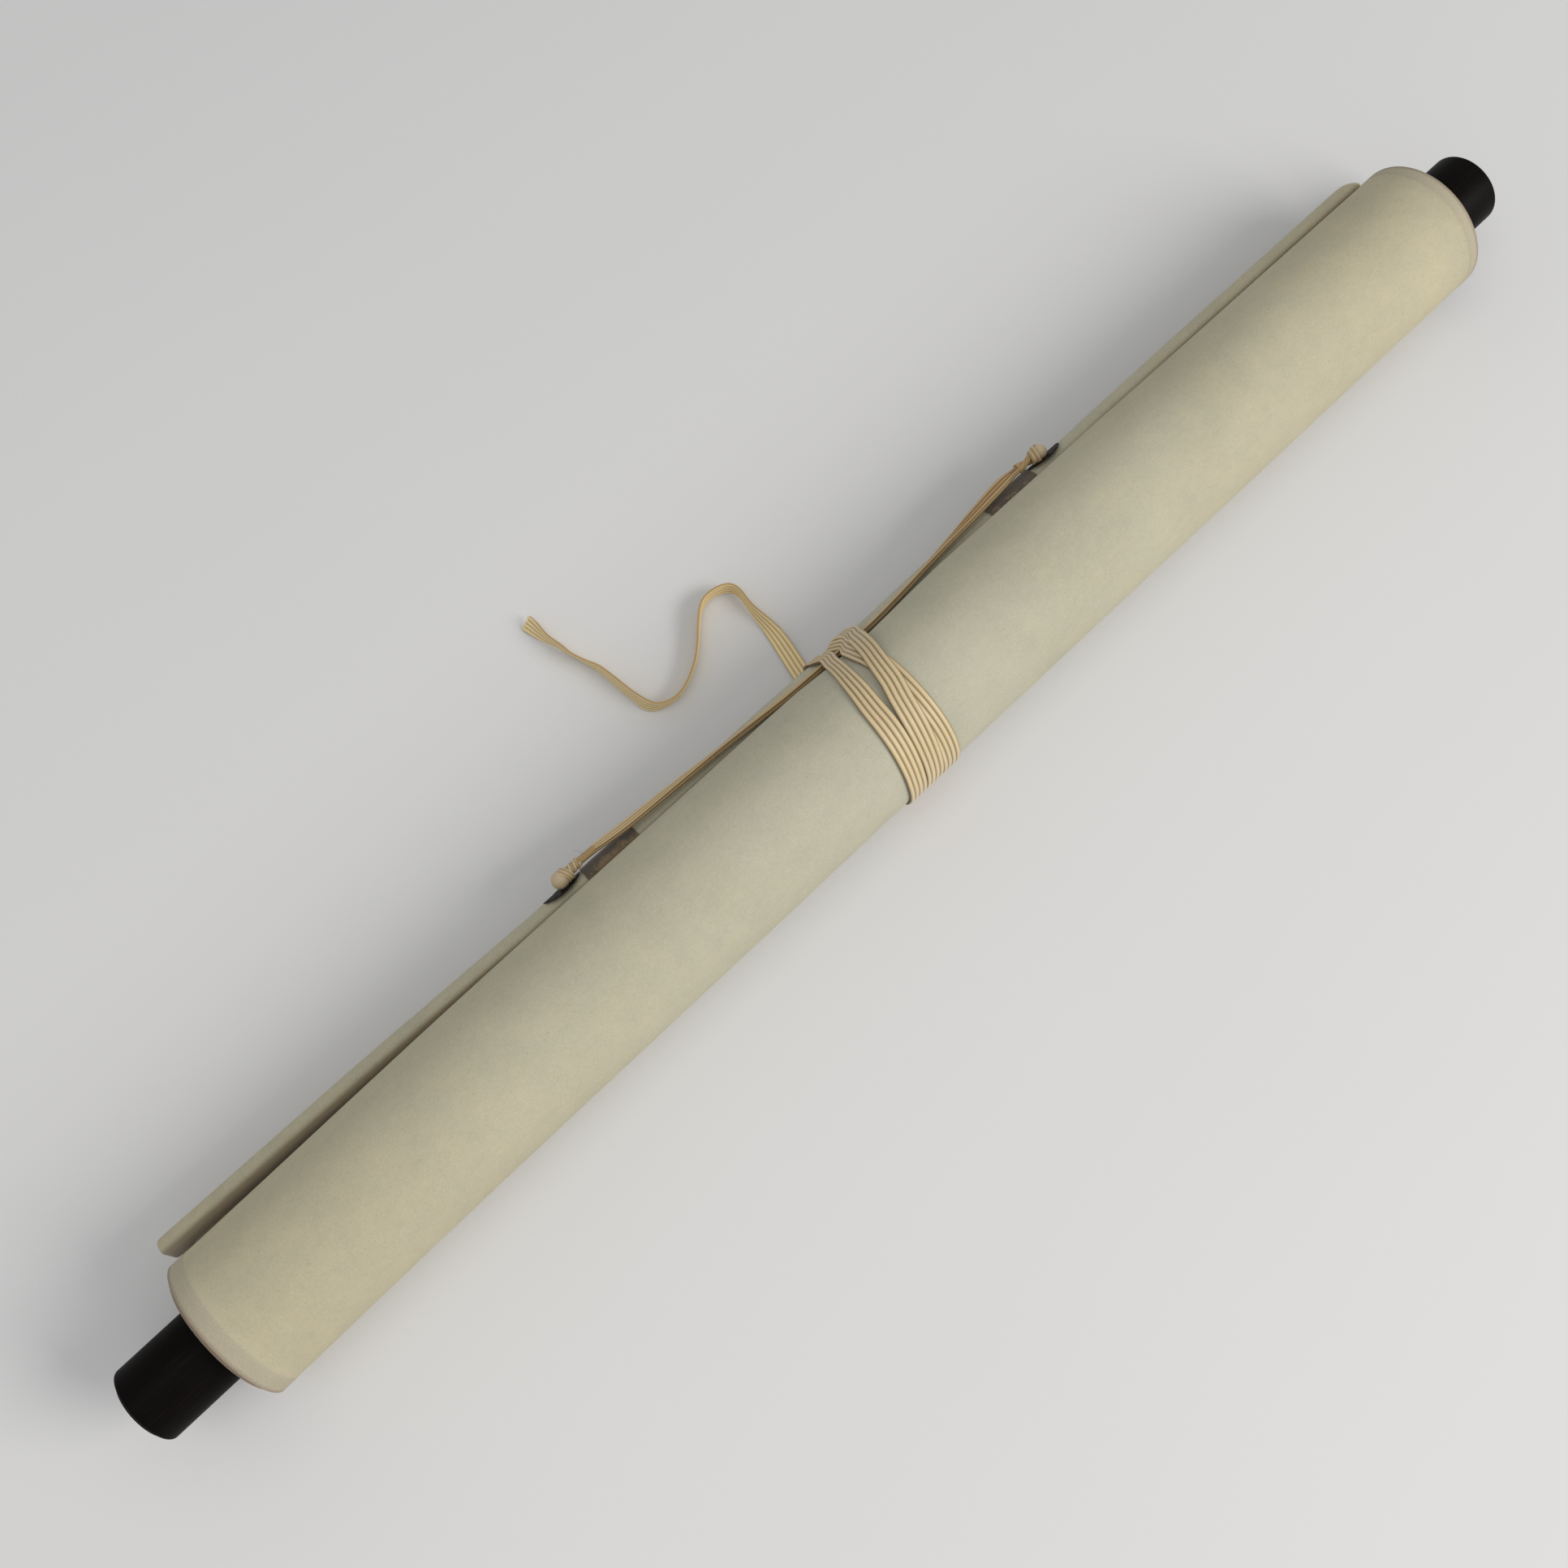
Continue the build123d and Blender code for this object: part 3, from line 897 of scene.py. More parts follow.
def batten_outline(grow=0.0, fine=20):
    """Half-round section with rounded corners, grown outwards by an amount."""
    radius, corner, tilt = BATTEN_RADIUS + grow, BATTEN_CORNER + grow, BATTEN_TILT
    points = arc_points((BATTEN_CORNER, BATTEN_SHOULDER), corner, 180, tilt, 5)
    points += arc_points((0, 0), radius, tilt, -tilt, fine)[1:-1]
    return points + arc_points((BATTEN_CORNER, -BATTEN_SHOULDER), corner, -tilt, -180, 5)


def along_batten(bm, outline, places, layer, ends=()):
    """Draws an outline of the batten's section along it. An end is the place where it starts
    to taper, its direction, and its size by the way from there."""
    stations = []
    for x in places:
        station = Matrix((OUT, UP, Vector((1, 0, 0)))).transposed().to_4x4()
        station.translation = on_batten(x, 0, 0)
        shrink = 1.0
        for start, way, table in ends:
            if (x - start) * way > 0:
                shrink = graded(table, abs(x - start))
        stations.append(station @ Matrix.Diagonal((shrink, shrink, 1, 1)))
    sweep(bm, outline, stations, layer)


# The pocket's rows of faces along it, and its folded ends: where each starts to taper, its
# direction and its size from there. Its right end is skewed from a place on.
POCKET_PLACES = [
    -273.3, -273.1, -272.6, -271.6, -270.0, *range(-266, 263, 12),
    267.0, 271.5, 273.6, 274.6, 275.0,
]
POCKET_ENDS = (
    (-271.5, -1, [(0, 1.0), (1.0, 0.98), (1.6, 0.93), (1.8, 0.84)]),
    (272.1, 1, [(0, 1.0), (1.5, 0.97), (2.5, 0.90), (2.9, 0.78)]),
)
SKEW_START, SKEW_WAY, SKEW = 250.0, 25.0, 0.55
POCKET_MIDDLE = 2.5
POCKET_WAVE = 0.12


def flap_pocket(paper, silk):
    """The pocket round the batten: paper outside, silk on its flat face, its ends folded shut."""
    bm = bmesh.new()
    along_batten(bm, batten_outline(SHEET_THICK, 24), POCKET_PLACES, "lay", POCKET_ENDS)
    bm.normal_update()
    for face in bm.faces:
        if face.normal.dot(OUT) < -0.97:
            face.material_index = 1
    for vert in bm.verts:
        skew = SKEW * max(0.0, (vert.co.x - SKEW_START) / SKEW_WAY)
        vert.co.x -= skew * (vert.co - on_batten(vert.co.x, POCKET_MIDDLE, 0)).dot(OUT)
        vert.co += OUT * ripple(vert.co.x * 0.04, vert.co.y * 0.1, 5.0) * POCKET_WAVE
    return finish_piece("flap_pocket", bm, [paper, silk], sharp=50)


def inner_batten(wood):
    """The half-round batten inside the pocket."""
    bm = bmesh.new()
    places = [-BATTEN_HALF + 2 * BATTEN_HALF * i / 24 for i in range(25)]
    along_batten(bm, batten_outline(), places, "weave")
    return finish_piece("batten", bm, [wood], ["top_batten"])


def turned_knob(name, side, wood):
    """Lathe-turned knob with a rounded rim, a raised disc on its end and a blind socket."""
    rim = KNOB_LENGTH - BOSS_HEIGHT
    face = KNOB_FACES[0] if side < 0 else KNOB_FACES[1]
    profile = [(SOCKET_DEPTH, 0.0), (SOCKET_DEPTH, SOCKET_RADIUS), (0.0, SOCKET_RADIUS)]
    edge = 0.3 * KNOB_EDGE
    profile += [(0.0, KNOB_RADIUS - KNOB_EDGE), (edge, KNOB_RADIUS - edge)]
    profile += [(KNOB_EDGE, KNOB_RADIUS)]
    profile += arc_points((rim - KNOB_ROUND, KNOB_RADIUS - KNOB_ROUND), KNOB_ROUND, 90, 0, 8)
    profile += [(rim, BOSS_RADIUS + BOSS_FOOT[1]), (rim + BOSS_FOOT[0], BOSS_RADIUS)]
    profile += arc_points(
        (KNOB_LENGTH - BOSS_ROUND, BOSS_RADIUS - BOSS_ROUND), BOSS_ROUND, 90, 0, 6
    )
    profile += [(KNOB_LENGTH + BOSS_RING[0], BOSS_RING[1]), (KNOB_LENGTH, 0.0)]
    bm = bmesh.new()
    points = [(face + side * x, r, AXIS) for x, r in profile]
    turn_full(bm, points, (0, 0, AXIS), (1, 0, 0), 96)
    return finish_piece(
        name, bm, [wood], ["roller_" + name], sharp=32, outwards=True
    )


# Radii of the washer's rings of faces, closer together towards its petals.
WASHER_RINGS = (1.0, 2.0, 3.0, 4.0, 5.0, 5.8, 6.5, 7.1, 7.6, WASHER_RADIUS)


def petal_washer(name, place, metal):
    """Pressed plate with a ring of petals, bent to lie round the pocket."""
    bm = bmesh.new()
    turn_full(bm, [(r, 0, 0) for r in WASHER_RINGS], (0, 0, 0), (0, 0, 1), PETALS * 10)
    lean = radians(WASHER_ANGLE)
    for vert in bm.verts:
        r, turn = hypot(vert.co.x, vert.co.y), atan2(vert.co.y, vert.co.x)
        share, petal = r / WASHER_RADIUS, abs(cos(turn * PETALS / 2))
        r -= PETAL_DEPTH * share**5 * (1 - petal**0.45)
        height = PETAL_RISE * share * petal**0.7 - RIM_DROP * share**6
        height += BEAD_RISE * exp(-((r - BEAD_RADIUS) ** 2))
        bend = r * sin(turn) / WASHER_BEND
        spring = WASHER_BEND + height
        off = spring * cos(bend) - WASHER_BEND + BATTEN_RADIUS + WASHER_SEAT
        up = spring * sin(bend)
        out, up = off * cos(lean) - up * sin(lean), off * sin(lean) + up * cos(lean)
        vert.co = on_batten(place + r * cos(turn), out, up)
    bm.normal_update()
    bm.faces.ensure_lookup_table()
    face = bm.faces[0]
    if face.normal.dot(face.calc_center_median() - on_batten(place, 0, 0)) < 0:
        bmesh.ops.reverse_faces(bm, faces=bm.faces)
    bmesh.ops.solidify(bm, geom=bm.faces[:], thickness=WASHER_THICK)
    return finish_piece(name, bm, [metal], ["eyelet_" + name], sharp=50)


def eyelet_ring(side, place, brass):
    """Ring on a bent shank, driven through the washer into the batten."""
    bm = bmesh.new()
    out = around_batten(place, 1, RING_ANGLE) - on_batten(place, 0, 0)
    beside = out.cross(Vector((1, 0, 0)))
    centre = around_batten(place, RING_HEIGHT, RING_ANGLE)
    points, normals = [], []
    for i in range(41):
        angle = 2 * pi * i / 40 - pi / 2
        normal = out * sin(angle) + beside * cos(angle)
        points.append(centre + normal * RING_RADIUS)
        normals.append(normal)
    sweep(bm, round_section(RING_WIRE, 12), stations_on(points, normals))
    shank = smooth_route([
        around_batten(place, 1.0, WASHER_ANGLE), around_batten(place, SHANK_BEND, WASHER_ANGLE),
        centre - out * RING_RADIUS,
    ])
    sweep(bm, round_section(SHANK_WIRE, 12), stations_on(shank, [beside] * len(shank)))
    return finish_piece(
        "ring_" + side, bm, [brass], ["eyelet_" + side], outwards=True
    )


def wind_band(side, middle, cloth, seed):
    """Brocade strip laid over the batten's top and down its flat face, its cut edges a little
    ragged."""
    bm = bmesh.new()
    lay = bm.verts.layers.float_vector.new("lay")
    skin = SHEET_THICK + BAND_GAP
    path = [(-skin, BAND_FOOT + (BATTEN_SHOULDER - BAND_FOOT) * i / 7) for i in range(7)]
    path += arc_points(
        (BATTEN_CORNER, BATTEN_SHOULDER), BATTEN_CORNER + skin, 180, BATTEN_TILT, 8
    )
    path += arc_points((0, 0), BATTEN_RADIUS + skin, BATTEN_TILT, BAND_END, 14)[1:]
    start = middle - BAND_WIDTH / 2
    _, edges = line_through(bm, [(start, u, v) for u, v in path])
    note_lay(bm, lay)
    along_roller(bm, edges, [start + BAND_WIDTH * i / 30 for i in range(31)])
    for vert in bm.verts:
        x, u, v = vert.co
        gone = vert[lay][1]
        vert[lay] = (x, gone, 0)
        fray = max(0.0, abs(x - middle) / (BAND_WIDTH / 2) - 0.9) * 10
        ragged = ripple(gone * 0.9, x * 0.01, seed) * BAND_FRAY * fray
        lift = BAND_LIFT + ripple(x * 0.12, gone * 0.15, seed) * BAND_WAVE + BAND_CURL * fray
        away = Vector((u, v)).normalized() if u > 0 else Vector((-1, 0))
        vert.co = on_batten(x + ragged, u + away[0] * lift, v + away[1] * lift)
    face_up(bm)
    bmesh.ops.solidify(bm, geom=bm.faces[:], thickness=BAND_THICK)
    return finish_piece("band_" + side, bm, [cloth], ["wind_band_" + side], sharp=60)


# The ties.

# What the ribbon is drawn tight over beside the roll, as round shapes in its plane: the sheet's
# flap from the table to the batten, by its middle along Y and its radius, and the hanging
# cord's two edges, by Y, Z and radius. The ribbon crosses the batten at this place along it.
FLAP_ROUND = (9.2, 17.4)
CORD_EDGES = ((27.3, 27.9, 0.6), (28.5, 27.6, 0.6))
RIBBON_PLACE = 12.0
OUTLINE_STEPS = 1440


def wrapped_outline(lift):
    """Tight outline round roll, pocket and hanging cord: (angle, point, normal) rows."""
    front, back, low = front_edge(LAST), back_edge(LAST), bottom_radius(LAST)
    half = SHEET_THICK / 2
    middle = Vector((0, (back - front) / 2, AXIS))
    flap, flap_radius = FLAP_ROUND
    discs = [
        (middle, (back + front) / 2 + half),
        (Vector((0, low - front, AXIS)), low + half),
        (Vector((0, flap, FLOOR_LINE + flap_radius)), flap_radius + half),
        (on_batten(RIBBON_PLACE, 0, 0), BATTEN_RADIUS + SHEET_THICK),
    ]
    discs += [(Vector((0, y, z)), radius) for y, z, radius in CORD_EDGES]
    rows = []
    for i in range(OUTLINE_STEPS):
        angle = 2 * pi * i / OUTLINE_STEPS
        normal = Vector((0, cos(angle), sin(angle)))
        near = discs if normal.z >= 0 else discs[1:]
        centre, radius = max(near, key=lambda disc: disc[0].dot(normal) + disc[1])
        spot = Vector((0, centre.y, centre.z)) + normal * (radius + lift)
        place = degrees(atan2(spot.z - middle.z, spot.y - middle.y)) % 360
        rows.append((place, spot, normal))
    rows.sort(key=lambda row: row[0])
    return rows, [row[0] for row in rows]


def outline_at(outline, angle):
    """The point and normal of an outline at an angle about the roll's middle."""
    rows, places = outline
    place = angle % 360
    i = bisect(places, place)
    before, after = rows[i - 1], rows[i % len(rows)]
    gap = (after[0] - before[0]) % 360 or 1.0
    t = ((place - before[0]) % 360) / gap
    return before[1].lerp(after[1], t), before[2].lerp(after[2], t).normalized()


# The ribbon by degrees round the roll from the batten over the top: its middle's place along
# the roller, its width's share, its lift over the turn below and its face's tilt. The first
# turn, then the second, which crosses over it, and the third.
RIBBON_TURNS = [
    (-42, 8.6, 0.85, 0.0, 0), (-18, 11.2, 0.80, 0.0, 6), (-4, 14.2, 0.78, 0.0, 22),
    (8, 15.4, 0.74, 0.0, 34), (18, 14.2, 0.76, 0.0, 28), (28, 13.1, 0.80, 0.0, 14),
    (45, 12.9, 0.88, 0.0, 4), (57, 13.6, 0.96, 0.0, 0), (68, 14.1, 1.02, 0.0, 0),
    (90, 14.1, 1.05, 0.0, 0), (128, 14.0, 1.03, 0.0, 0), (180, 13.5, 1.02, 0.0, 0),
    (225, 14.1, 0.97, 0.0, 0), (270, 14.9, 0.93, 0.0, 0), (310, 16.6, 0.92, 0.0, 0),
    (340, 18.0, 0.86, 0.3, 0), (358, 18.9, 0.82, 0.8, 0), (368, 20.3, 0.78, 0.9, -3),
    (380, 18.8, 0.86, 0.9, 0), (394, 17.4, 0.90, 0.9, 0), (412, 15.6, 0.93, 0.9, 0),
    (424, 14.1, 0.95, 0.9, 0), (433, 13.1, 1.0, 0.9, 0), (444, 12.0, 1.05, 0.9, 0),
    (457, 10.2, 1.06, 0.85, 2), (471, 8.9, 1.07, 0.65, 3), (487, 7.8, 1.05, 0.42, 4),
    (503, 6.9, 1.03, 0.24, 2), (523, 6.15, 1.02, 0.08, 0), (540, 5.9, 1.01, 0.0, 0),
    (585, 6.1, 0.98, 0.0, 0), (630, 6.7, 0.93, 0.0, 0), (655, 6.3, 0.92, 0.2, 0),
    (672, 5.2, 0.90, 0.9, 0), (692, 4.6, 0.86, 0.9, 0), (706, 4.9, 0.82, 0.8, 0),
    (716, 5.9, 0.80, 0.2, -4), (728, 8.0, 0.78, 0.0, -6), (738, 7.1, 0.76, 0.0, -3),
    (747, 6.0, 0.75, 0.0, 0), (762, 4.8, 0.78, 0.0, 0), (771, 4.1, 0.82, 0.0, 0),
    (781, 3.3, 0.90, 0.0, 0), (791, 2.6, 0.97, 0.0, 0), (808, 1.4, 1.05, 0.0, 0),
    (824, 0.9, 1.10, 0.0, 0), (841, 0.2, 1.08, 0.0, 0), (859, -0.7, 1.04, 0.0, 0),
    (877, -1.4, 1.01, 0.0, 0), (900, -1.65, 1.0, 0.0, 0), (945, -1.6, 0.98, 0.0, 0),
    (990, -1.3, 0.93, 0.0, 0), (1002, -1.0, 0.93, 0.0, 0),
]
# Where the third turn runs on under the roll to the free end, and its width's share there.
RUN_ON = ((-0.6, 9.0, 0.46), (0.5, 14.0, 0.48), (2.0, 19.3, 0.5))
RUN_ON_SHARE = 0.93
# Steps along the ribbon, shorter beside the batten, and the degrees that count as beside it.
FINE_STEP, STEP, BESIDE = 0.45, 1.2, 22
# The free end's route over the table, with its face's turn about its line in degrees, and the
# share of its width by the way along it.
TAIL_ROUTE = [
    (2.0, 19.3, 0.55, 0), (3.2, 30.0, 0.55, 0), (4.8, 39.0, 0.6, 0), (6.4, 46.5, 0.95, -10),
    (7.5, 53.0, 1.9, -34), (7.7, 59.0, 3.0, -60), (7.5, 64.5, 3.5, -74), (8.0, 69.0, 3.6, -83),
    (8.7, 73.0, 3.6, -81), (8.0, 76.3, 3.6, -79), (5.6, 78.4, 3.6, -81), (1.5, 79.8, 3.6, -86),
    (-3.0, 79.6, 3.6, -86), (-6.5, 77.6, 3.6, -88), (-11.0, 73.3, 3.6, -88),
    (-15.1, 69.2, 3.6, -90), (-19.4, 65.6, 3.6, -92), (-24.0, 62.9, 3.6, -95),
    (-29.0, 60.8, 3.6, -97), (-33.0, 59.9, 3.6, -97), (-37.0, 60.4, 3.6, -96),
    (-40.8, 61.9, 3.6, -87), (-43.0, 64.6, 3.55, -74), (-43.9, 67.8, 3.55, -74),
    (-44.5, 71.6, 3.6, -79), (-45.1, 76.5, 3.6, -79), (-45.6, 81.4, 3.6, -81),
    (-46.2, 86.6, 3.6, -86), (-47.6, 90.2, 3.6, -94), (-49.0, 94.5, 3.55, -98),
    (-49.9, 97.6, 3.55, -98), (-50.5, 100.3, 3.6, -88), (-51.3, 103.8, 3.6, -84),
    (-52.2, 107.0, 3.5, -76), (-52.7, 110.4, 3.0, -60), (-53.0, 114.0, 2.3, -42),
    (-53.4, 117.0, 1.8, -34),
]
TAIL_LIFT = 0.25
TAIL_SPREAD = [
    (0, 1.05), (0.10, 0.92), (0.25, 0.92), (0.4, 1.0), (0.84, 0.98), (0.90, 0.82), (1.0, 0.88),
]
# The hanging cord: places of its middle, from knot to knot, and its face's elevation and the
# share of its width, both by the place along the roller.
HANGING_ROUTE = [
    (-106.6, 34.3, 26.0), (-95.0, 34.8, 26.0), (-85.0, 33.7, 26.1), (-77.0, 32.9, 26.3),
    (-64.0, 32.1, 26.5), (-36.0, 30.2, 26.8), (-12.0, 28.7, 26.9), (-2.0, 28.2, 26.8),
    (12.0, 27.9, 26.8), (25.0, 27.4, 26.8), (39.0, 27.9, 26.9), (60.0, 29.9, 26.7),
    (78.0, 31.6, 26.5), (94.0, 33.4, 26.2), (103.0, 33.8, 26.0), (114.6, 33.2, 25.5),
]
CORD_FACE = [
    (-107, 50), (-85, 50), (-77, 50), (-58, 36), (-36, 20), (-12, 30), (-2, 25), (25, 20),
    (39, 14), (55, 18), (72, 32), (78, 42), (86, 52), (94, 60), (114, 60),
]
CORD_WIDTH = [
    (-107, 0.45), (-99, 0.5), (-93, 0.62), (-88, 0.80), (-77, 0.88), (-40, 0.88), (-8, 0.9),
    (28, 0.85), (45, 0.9), (86, 1.0), (97, 0.98), (102, 0.66), (107, 0.6), (115, 0.5),
]
# Its two layers: the side on which each lies, its tilt, and its shift across the cord by the
# place along the roller. How far they lie apart and how much of the tilt they take vary too.
CORD_LAYERS = (
    (-1, -4, [
        (-108, 0), (-90, 0.2), (-40, 0.3), (-5, 0.1), (30, 0.1), (60, 0.3), (95, 0.4), (112, 0),
    ]),
    (1, 6, [
        (-108, 0), (-90, -0.1), (-40, -0.2), (-5, 0), (30, 0), (60, -0.2), (95, -0.2), (112, 0),
    ]),
)
LAYER_GAP = [(-108, 0.172), (-90, 0.43), (90, 0.43), (112, 0.172)]
LAYER_TILT = [(-108, 0), (-80, 1), (0, 0.3), (30, 0.3), (90, 1.4), (112, 0)]
# Its two knots: the cap's radius; the slung braid's width, its lean along the cord and its
# turns, each as (place, half width, half height, start angle); the turns of the neck's strands;
# and where the whipping beside it starts and ends.
KNOTS = {
    "left": (3.1, 2.5, 1.25, [(1.9, 2.35, 2.3, 200)], 1.5, (-98.4, -91.4)),
    "right": (2.75, 1.7, -0.7, [(1.4, 2.6, 2.5, 200), (3.0, 2.1, 2.0, 20)], 0.5, (104.6, 100.2)),
}
KNOT_LEAN = 70
KNOT_STRAND = 3.6
SLING_THICK, SLING_TURN, SLING_PITCH = 1.25, 1.04, 0.2
NECK_START, NECK_SHORT = 2.4, 2.2
NECK_WIDE, NECK_HIGH = 0.85, 0.78
WHIP_WIDE, WHIP_HIGH = 1.30, 1.08
WHIP_STRAND = 0.9
LOOSE_THREADS = (
    ((-95.6, 35.4, 26.8), (-95.9, 36.6, 27.3), (-96.5, 37.6, 27.4), (-97.3, 38.5, 27.2)),
    ((-95.2, 35.4, 26.8), (-95.3, 36.3, 27.2), (-95.5, 37.0, 27.1)),
)


def wound_turns(name, silk):
    """The ribbon's three turns round the roll, the second crossing over the first."""
    outline = wrapped_outline(RIBBON_GAP + RIBBON_THICK / 2)
    places, shares, lifts, tilts = (
        [(row[0], row[k]) for row in RIBBON_TURNS] for k in (1, 2, 3, 4)
    )
    points, normals, rolls, widths = [], [], [], []
    angle = RIBBON_TURNS[0][0]
    while angle < RIBBON_TURNS[-1][0]:
        spot, normal = outline_at(outline, angle)
        x = graded(places, angle) + RIBBON_WANDER * ripple(angle * 0.013, 3.0, 1.0)
        points.append(Vector((x, spot.y, spot.z)) + normal * max(0.0, graded(lifts, angle)))
        normals.append(normal)
        rolls.append(graded(tilts, angle))
        widths.append(graded(shares, angle))
        step = FINE_STEP if abs((angle + 180) % 360 - 180) < BESIDE else STEP
        angle += degrees(step / hypot(spot.y, spot.z - AXIS))
    points += [Vector(spot) for spot in RUN_ON]
    normals += [Vector((0, 0, -1))] * len(RUN_ON)
    rolls += [0] * len(RUN_ON)
    widths += [RUN_ON_SHARE] * len(RUN_ON)
    bm = bmesh.new()
    stations = stations_on(points, normals, rolls, widths)
    sweep(bm, ribbed_section(RIBBON_WIDTH, RIBBON_THICK, RIBBON_RIBS), stations)
    return finish_piece(
        name, bm, [silk], ["wrapping_cord_turns"], sharp=60, outwards=True
    )


def frayed_hairs(bm, end):
    """Short loose threads out of the ribbon's cut end, at the station where it ends."""
    facing = [end.to_3x3() @ Vector((0, 1, 0))] * 4
    for i in range(HAIRS):
        u = TAIL_WIDTH * (0.94 * i / (HAIRS - 1) - 0.47)
        wander = ripple(i * 1.7, 4.0, 2.0)
        reach = HAIR_REACH + HAIR_VARIES * ripple(i * 2.3, 1.0, 7.0)
        hair = [
            end @ Vector((
                u + wander * t * t * 1.3, 0.12 * (-1) ** i + wander * t * 0.5, t * reach - 0.4
            ))
            for t in (0.0, 0.35, 0.7, 1.0)
        ]
        stations = stations_on(hair, facing, None, (1.0, 0.95, 0.8, 0.45))
        sweep(bm, round_section(HAIR_RADIUS, 5), stations)


def free_tail(name, silk):
    """The ribbon's free end: flat, then a standing loop, a fold and a fanned, frayed end."""
    points = smooth_route([(x, y, z + TAIL_LIFT) for x, y, z, _ in TAIL_ROUTE], 7)
    rolls = [row[0] for row in smooth_route([(roll, 0, 0) for *_, roll in TAIL_ROUTE], 7)]
    last = len(points) - 1
    widths = [graded(TAIL_SPREAD, i / last) for i in range(last + 1)]
    stations = stations_on(points, [Vector((0, 0, 1))] * len(points), rolls, widths)
    bm = bmesh.new()
    sweep(bm, ribbed_section(TAIL_WIDTH, RIBBON_THICK, RIBBON_RIBS), stations)
    plain = len(bm.verts)
    frayed_hairs(bm, stations[-1])
    bm.verts.ensure_lookup_table()
    weave = bm.verts.layers.float_vector["weave"]
    for vert in bm.verts[plain:]:
        vert[weave] = (vert[weave][0] + TAIL_WIDTH / 8, vert[weave][1], 0)
    piece = finish_piece(
        name, bm, [silk], ["wrapping_cord_tail"], sharp=60, outwards=True
    )
    return piece


def hanging_braid(name, silk):
    """The hanging cord: two flat braids, one on the other, gathered at each knot."""
    points = smooth_route(HANGING_ROUTE)
    bm = bmesh.new()
    for layer, tilt, sideways in CORD_LAYERS:
        line, facing, widths = [], [], []
        for point in points:
            rise = radians(graded(CORD_FACE, point.x))
            out, lean = Vector((0, cos(rise), sin(rise))), Vector((0, -sin(rise), cos(rise)))
            apart = layer * graded(LAYER_GAP, point.x)
            line.append(point + out * apart + lean * graded(sideways, point.x))
            turn = radians(tilt * graded(LAYER_TILT, point.x))
            facing.append(out * cos(turn) + lean * sin(turn))
            widths.append(graded(CORD_WIDTH, point.x))
        section = ribbed_section(BRAID_WIDTH, BRAID_THICK, BRAID_RIBS)
        sweep(bm, section, stations_on(line, facing, None, widths))
    piece = finish_piece(
        name, bm, [silk], ["hanging_cord"], sharp=60, outwards=True
    )
    return piece


def winding(centre, axis, normal, wide, high, turns, pitch, slope=0.0, start=0.0, fine=28):
    """Points and outward normals of a cord wound round an axis; slope leans its turns."""
    across = axis.cross(normal).normalized()
    points, normals = [], []
    for i in range(int(turns * fine) + 1):
        angle = 2 * pi * i / fine + radians(start)
        out = across * cos(angle) * wide + normal * sin(angle) * high
        points.append(centre + axis * (pitch * i / fine + slope * cos(angle)) + out)
        normals.append((across * cos(angle) / wide + normal * sin(angle) / high).normalized())
    return points, normals


def round_cap(bm, radius, place):
    """The knot's round cap, brought to its place by a matrix."""
    weave = bm.verts.layers.float_vector.new("weave")
    made = bmesh.ops.create_uvsphere(bm, u_segments=48, v_segments=24, radius=1.0)
    for vert in made["verts"]:
        x, y, z = vert.co
        vert[weave] = (atan2(y, x) * 6.5 + z * 4.0, z * 3.4, 1)
        vert.co = place @ (Vector((z, y, x)) * radius)


def tied_knot(side, silks, threads=()):
    """Knot in the braid round the eyelet's ring: a round cap, a braid slung over its shoulder,
    a neck of two strands and a smooth whipping that gathers the cord. The silks are those of
    the cap, the braid, the neck, the whipping and the loose threads."""
    radius, sling, lean, loops, neck_turns, whipped = KNOTS[side]
    knot = Vector(HANGING_ROUTE[0 if side == "left" else -1])
    middle = [row[:2] for row in HANGING_ROUTE]
    start, end = (Vector((x, graded(middle, x), knot.z)) for x in whipped)
    axis = (start - knot).normalized()
    normal = (around_batten(0, 1, KNOT_LEAN) - on_batten(0, 0, 0)).normalized()
    place = Matrix((axis, axis.cross(normal).normalized(), normal)).transposed().to_4x4()
    place.translation = knot
    bm = bmesh.new()
    round_cap(bm, radius, place)
    ends = [len(bm.faces)]
    for way, wide, high, first in loops:
        points, normals = winding(
            knot + axis * way, axis, normal, wide, high, SLING_TURN, SLING_PITCH, lean, first
        )
        sweep(bm, ribbed_section(sling, SLING_THICK, 2), stations_on(points, normals))
    ends.append(len(bm.faces))
    pitch = ((start - knot).length - NECK_SHORT) / neck_turns
    for phase in (40, 220):
        points, normals = winding(
            knot + axis * NECK_START, axis, normal, NECK_WIDE, NECK_HIGH, neck_turns, pitch,
            start=phase, fine=30,
        )
        sweep(bm, round_section(STRAND_RADIUS, 14), stations_on(points, normals))
    ends.append(len(bm.faces))
    way = end - start
    turns = int(way.length / WHIP_PITCH)
    points, normals = winding(
        start, way.normalized(), normal, WHIP_WIDE, WHIP_HIGH, turns, way.length / turns, fine=14
    )
    sweep(bm, round_section(WHIP_RADIUS, 6), stations_on(points, normals))
    core = [start.lerp(end, t / 8) for t in range(9)]
    sweep(bm, round_section(STRAND_RADIUS, 16), stations_on(core, [normal] * 9))
    ends.append(len(bm.faces))
    for route in threads:
        hair = smooth_route(route)
        sweep(bm, round_section(THREAD_RADIUS, 5), stations_on(hair, [normal] * len(hair)))
    bm.faces.ensure_lookup_table()
    for i, face in enumerate(bm.faces):
        face.material_index = bisect(ends, i)
    return finish_piece(
        "knot_" + side, bm, silks, ["hanging_knot_" + side], sharp=60, outwards=True
    )


# Building.

